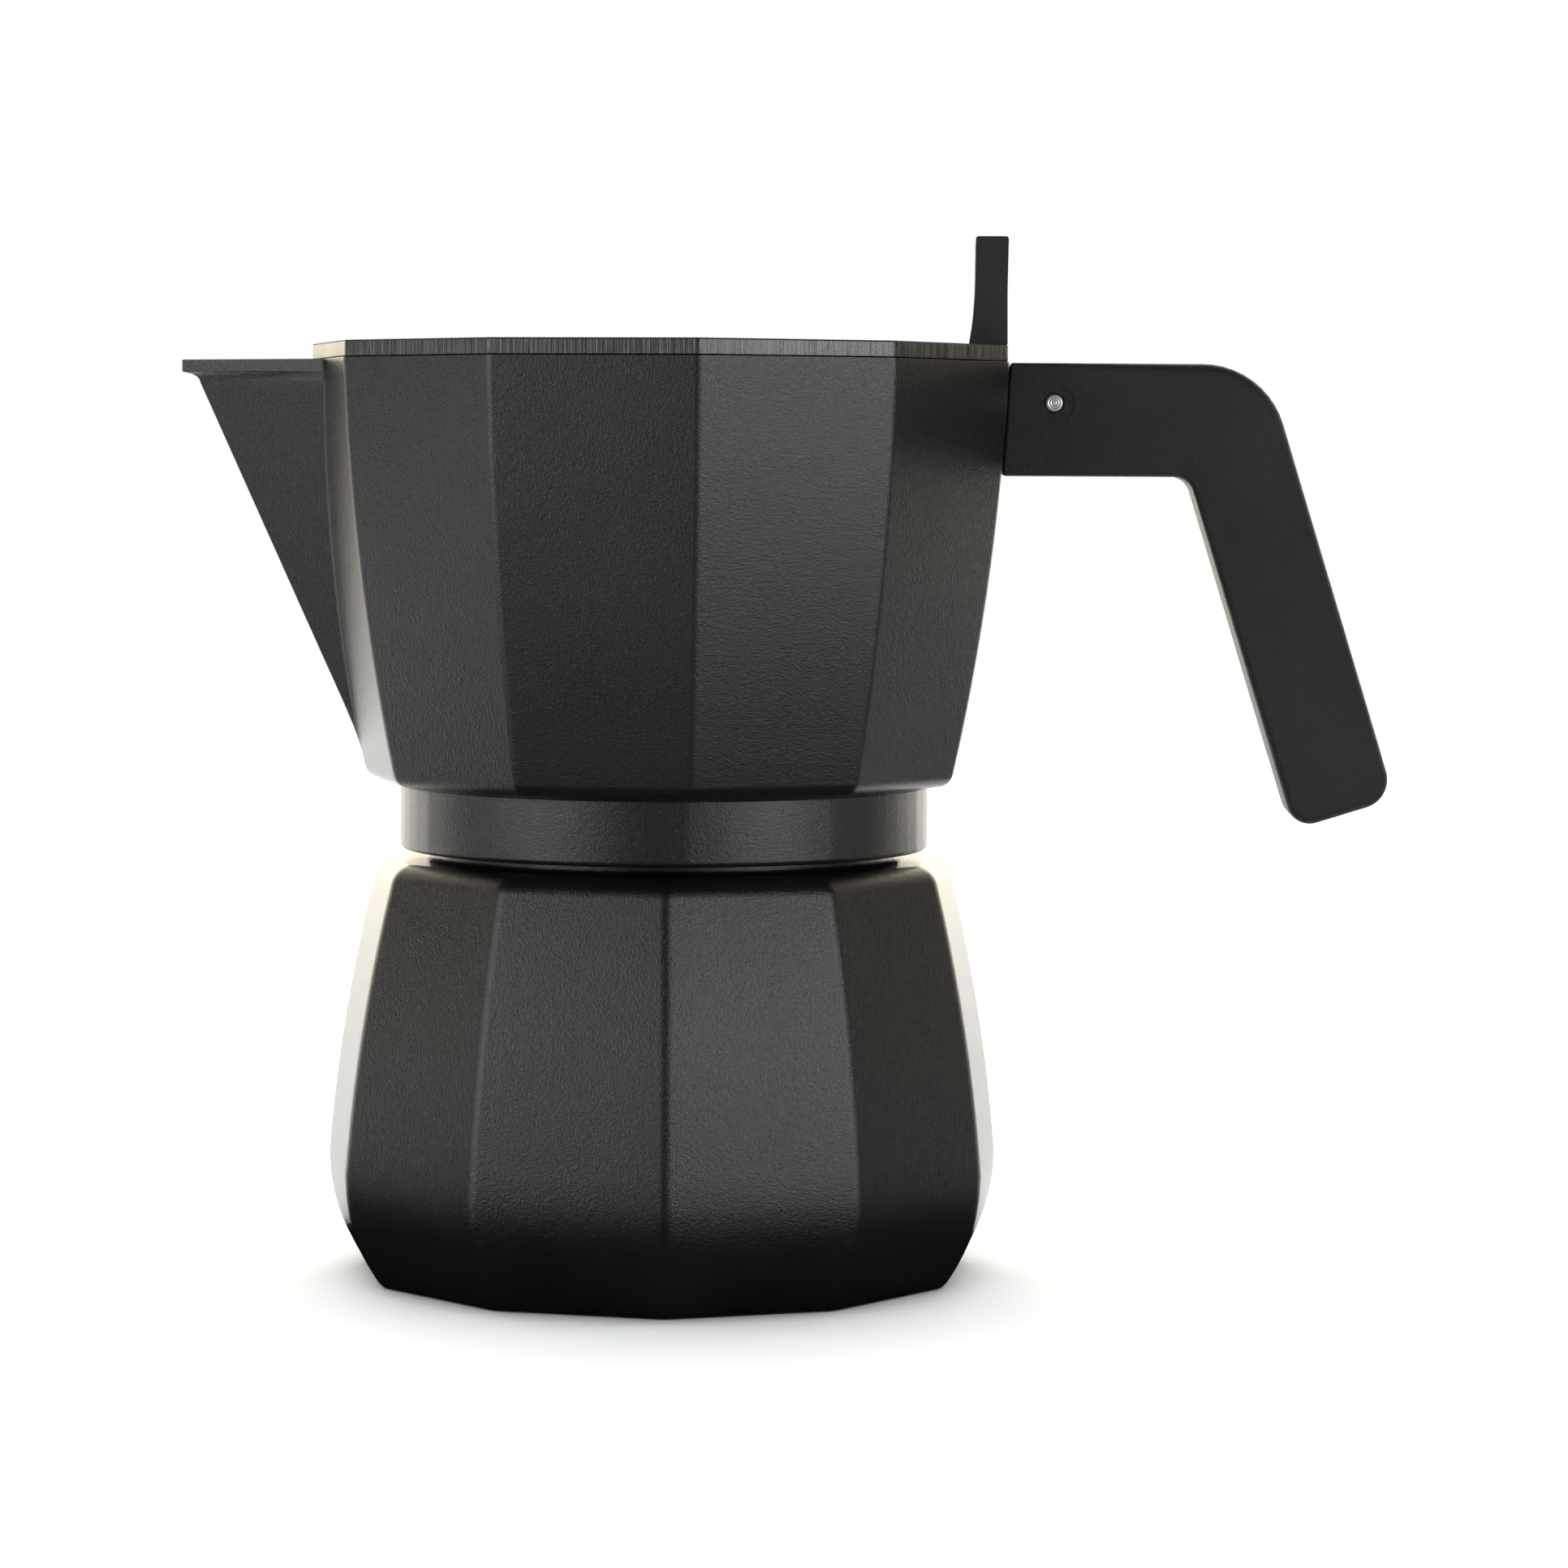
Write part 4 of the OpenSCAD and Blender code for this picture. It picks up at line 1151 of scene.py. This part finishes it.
# %% [markdown]
# The slot for the ears opens at the front and the top. Round the pin there is a shallow dish
# with a tighter ring in it, where the moulding was cut back for the pin.

# %% Handle slot and pin holes
slot_half = KNUCKLE_HALF + EAR_GAP + EAR_T + 0.1 * MM
slot = block("slot", (back_x - 4 * MM, -slot_half, handle_low + 1.9 * MM),
             (pin_x + 6.4 * MM, slot_half, rim_z + 2 * MM))
boolean(handle, slot, "DIFFERENCE")
boolean(handle, cross_bore("pin_hole", PIN_R + 0.02 * MM, -9 * MM, 9 * MM), "DIFFERENCE")
for side in (-1, 1):
    face = side * HANDLE_T / 2
    for radius, depth in ((2.75 * MM, 0.12 * MM), (PIN_R + 0.04 * MM, 2.2 * MM)):
        ends = sorted((face - side * depth, face + side * MM))
        boolean(handle, cross_bore("dish", radius, ends[0], ends[1], 48), "DIFFERENCE")
finish_piece(handle, moulding, "top", "moulded_black", "handle")

# %% [markdown]
# ## Inside the pot
# The funnel is drawn from sheet, so its corners are soft and its rim is folded flat. The seal
# is a plain rubber ring. The perforated plates, the spring and the small valve parts are right
# as the frame has them, and only need their finish.

# %% Funnel and seal
funnel_low, funnel_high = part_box("funnel")[0][2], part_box("funnel")[1][2]
BASKET_R, FLANGE_R, STEM_R, SHEET = 28.4 * MM, 32.2 * MM, 4.8 * MM, 0.8 * MM
basket_z = neck_top - 21.5 * MM
funnel = lathe("funnel_drawn", softened([
    (STEM_R - SHEET, funnel_low, 0), (STEM_R, funnel_low, 0.2 * MM),
    (STEM_R, basket_z - 5.5 * MM, 1.5 * MM), (BASKET_R, basket_z, 1.6 * MM),
    (BASKET_R, neck_top, 0.5 * MM), (FLANGE_R, neck_top, 0.3 * MM),
    (FLANGE_R, funnel_high, 0.3 * MM), (BASKET_R - SHEET, funnel_high, 0.7 * MM),
    (BASKET_R - SHEET, basket_z + 0.6 * MM, 0.8 * MM),
    (STEM_R - SHEET, basket_z - 4.9 * MM, 1.2 * MM), (STEM_R - SHEET, funnel_low + 0.3 * MM, 0)]),
    112)
finish_piece(funnel, aluminium, "strainer", "bare_aluminium", "funnel")

gasket_low, gasket_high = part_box("gasket")[0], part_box("gasket")[1]
GASKET_HOLE_R = 26.5 * MM
seal = lathe("seal_ring", softened([
    (GASKET_HOLE_R, (gasket_low[2] + gasket_high[2]) / 2, 0),
    (GASKET_HOLE_R, gasket_low[2], 0.4 * MM), (gasket_high[0], gasket_low[2], 0.4 * MM),
    (gasket_high[0], gasket_high[2], 0.4 * MM), (GASKET_HOLE_R, gasket_high[2], 0.4 * MM),
    (GASKET_HOLE_R, (gasket_low[2] + gasket_high[2]) / 2 + 0.2 * MM, 0)]), 112)
finish_piece(seal, rubber, "seal", "seal_rubber", "gasket")

# %% [markdown]
# ## Safety valve
# The valve body is turned from hexagon brass: a screwed shank inside, the hexagon against the
# boss, and a round nose with two vents and a hole for the pin's tip.

# %% Valve body
HEX_T, NOSE_R, NOSE_LEN = 3.4 * MM, 4.9 * MM, 4.4 * MM
HEX_R = 6.5 * MM / math.cos(math.pi / 6)
nose_end = valve_face + HEX_T + NOSE_LEN
shank_end = valve_face - 8.2 * MM
hex_points = outline([(HEX_R * math.cos(i * math.pi / 3), HEX_R * math.sin(i * math.pi / 3), 0.25 * MM)
                      for i in range(6)], 4, 14)


def hex_ring(limit, z):
    """A ring that is hexagonal inside limit and round where the chamfer cuts it."""
    return [along_valve(Vector((*(p.normalized() * min(p.length, limit)), z))) for p in hex_points]


def round_ring(radius, z):
    return [along_valve(Vector((*(p.normalized() * radius), z))) for p in hex_points]


hex_end = valve_face + HEX_T
valve_rings = [round_ring(3.1 * MM, shank_end), round_ring(VALVE_SHANK_R - 0.4 * MM, shank_end),
               round_ring(VALVE_SHANK_R, shank_end + 0.4 * MM), round_ring(VALVE_SHANK_R, valve_face),
               hex_ring(6.9 * MM, valve_face), hex_ring(7.45 * MM, valve_face + 0.4 * MM),
               hex_ring(7.45 * MM, hex_end - 0.6 * MM), hex_ring(7.1 * MM, hex_end - 0.3 * MM),
               hex_ring(6.45 * MM, hex_end),
               round_ring(NOSE_R + 0.25 * MM, hex_end), round_ring(NOSE_R, hex_end + 0.25 * MM),
               round_ring(NOSE_R, nose_end - 0.6 * MM), round_ring(NOSE_R - 0.15 * MM, nose_end - 0.2 * MM),
               round_ring(NOSE_R - 0.6 * MM, nose_end), round_ring(1.55 * MM, nose_end),
               round_ring(1.4 * MM, nose_end - 0.15 * MM), round_ring(1.4 * MM, nose_end - 1.4 * MM),
               round_ring(3.1 * MM, nose_end - 1.4 * MM)]
valve = skin("valve_body_brass", valve_rings, "loop")
vent = skin("vent", [[along_valve(Vector((x, p.x, hex_end + NOSE_LEN / 3 + p.y)))
                      for p in circle(0.8 * MM, 0, 24)] for x in (-7 * MM, 7 * MM)])
boolean(valve, vent, "DIFFERENCE")
finish_piece(valve, brass, "base", "valve_brass", "valve_body")

# %% Carried parts
carried = {"valve_retainer": brass, "valve_spring": steel, "valve_pin": steel,
           "funnel_strainer": aluminium, "filter_plate": aluminium}
for name, finish in carried.items():
    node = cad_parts[name]
    node.data.materials.clear()
    node.data.materials.append(finish)
print("carried:", ", ".join(carried))

# %% Floor finish
pale, pale_tree, pale_shader = new_finish("pale_floor", (0.86, 0.86, 0.85), 0.6)
pale_shader.inputs["Specular IOR Level"].default_value = 0
vary(pale_tree, noise(pale_tree, 30), 0.55, 0.7, pale_shader.inputs["Roughness"])
floor.data.materials.append(pale)
